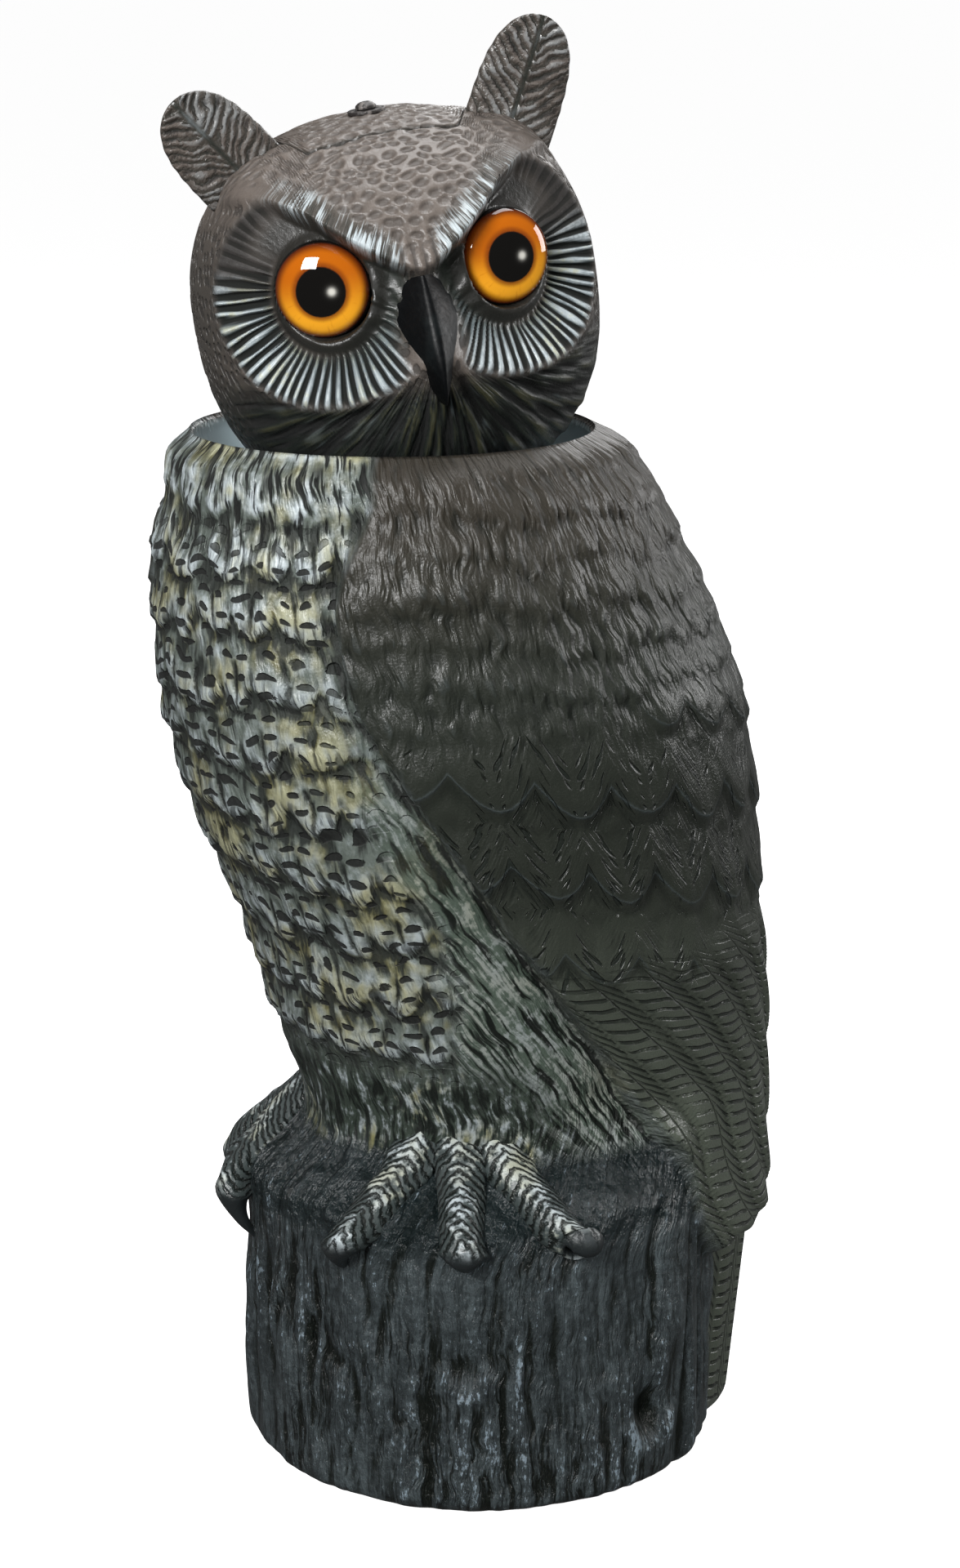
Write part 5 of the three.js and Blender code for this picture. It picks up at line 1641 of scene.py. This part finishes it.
class OWL_OT_stage(bpy.types.Operator):
    """Pale floor, soft studio light and the camera"""

    bl_idname = "owl.stage"
    bl_label = "Stage"

    def execute(self, context):
        scene = context.scene
        mesh = bpy.data.meshes.new("floor")
        w = FLOOR_HALF_WIDTH
        mesh.from_pydata([(-w, -w, 0), (w, -w, 0), (w, w, 0), (-w, w, 0)], [], [(0, 1, 2, 3)])
        f = Finish("floor")
        glow = {"Emission Color": (1, 1, 1, 1), "Emission Strength": FLOOR_GLOW}
        f.surface(paint(200, 200, 200), 0.9, fixed=glow)
        mesh.materials.append(f.material)
        floor = bpy.data.objects.new("floor", mesh)
        scene.collection.objects.link(floor)
        floor.visible_diffuse = False
        floor.visible_glossy = False

        world = bpy.data.worlds.new("studio")
        world.use_nodes = True
        background = world.node_tree.nodes["Background"]
        background.inputs[0].default_value = (1, 1, 1, 1)
        background.inputs[1].default_value = ROOM_LIGHT
        scene.world = world
        scene.view_settings.view_transform = "Standard"
        for lamp in LAMPS:
            self.lamp(scene, *lamp)

        azimuth, pitch = np.radians(CAMERA_AZIMUTH), np.radians(CAMERA_PITCH)
        camera = bpy.data.cameras.new("camera")
        camera.sensor_fit = "VERTICAL"
        camera.sensor_height = FILM_HEIGHT
        camera.lens = FILM_HEIGHT * FOCAL_PIXELS / PHOTO_HEIGHT
        view = bpy.data.objects.new("camera", camera)
        view.location = (
            CAMERA_DISTANCE * np.sin(azimuth), -CAMERA_DISTANCE * np.cos(azimuth), CAMERA_HEIGHT)
        look = Vector((
            -np.sin(azimuth) * np.cos(pitch), np.cos(azimuth) * np.cos(pitch), -np.sin(pitch)))
        view.rotation_euler = look.to_track_quat("-Z", "Y").to_euler()
        scene.collection.objects.link(view)
        scene.camera = view
        return {"FINISHED"}

    def lamp(self, scene, name, place, size, power, glossy):
        """A square soft light that faces the middle of the owl."""
        light = bpy.data.lights.new(name, "AREA")
        light.size = size
        light.energy = power
        holder = bpy.data.objects.new(name, light)
        holder.location = place
        to_owl = Vector(LAMP_AIM) - holder.location
        holder.rotation_euler = to_owl.to_track_quat("-Z", "Y").to_euler()
        holder.visible_glossy = glossy
        scene.collection.objects.link(holder)


PARTS = (OWL_OT_body, OWL_OT_head_face, OWL_OT_head_back, OWL_OT_eyes, OWL_OT_pivot, OWL_OT_stage)


class OWL_PT_panel(bpy.types.Panel):
    bl_idname = "OWL_PT_panel"
    bl_label = "Owl decoy"
    bl_space_type = "VIEW_3D"
    bl_region_type = "UI"
    bl_category = "Owl"

    def draw(self, context):
        for group in (context.scene.owl_carving, context.scene.owl_paint):
            box = self.layout.box()
            for name in group.__annotations__:
                box.prop(group, name)
        for part in PARTS:
            self.layout.operator(part.bl_idname)


CLASSES = (OwlCarving, OwlPaint, *PARTS, OWL_PT_panel)


def register():
    for cls in CLASSES:
        bpy.utils.register_class(cls)
    bpy.types.Scene.owl_carving = bpy.props.PointerProperty(type=OwlCarving)
    bpy.types.Scene.owl_paint = bpy.props.PointerProperty(type=OwlPaint)


def unregister():
    del bpy.types.Scene.owl_paint
    del bpy.types.Scene.owl_carving
    for cls in reversed(CLASSES):
        bpy.utils.unregister_class(cls)


def main():
    register()
    bpy.ops.owl.body()
    bpy.ops.owl.head_face()
    bpy.ops.owl.head_back()
    bpy.ops.owl.eyes()
    bpy.ops.owl.pivot()
    bpy.ops.owl.stage()


if __name__ == "__main__":
    main()
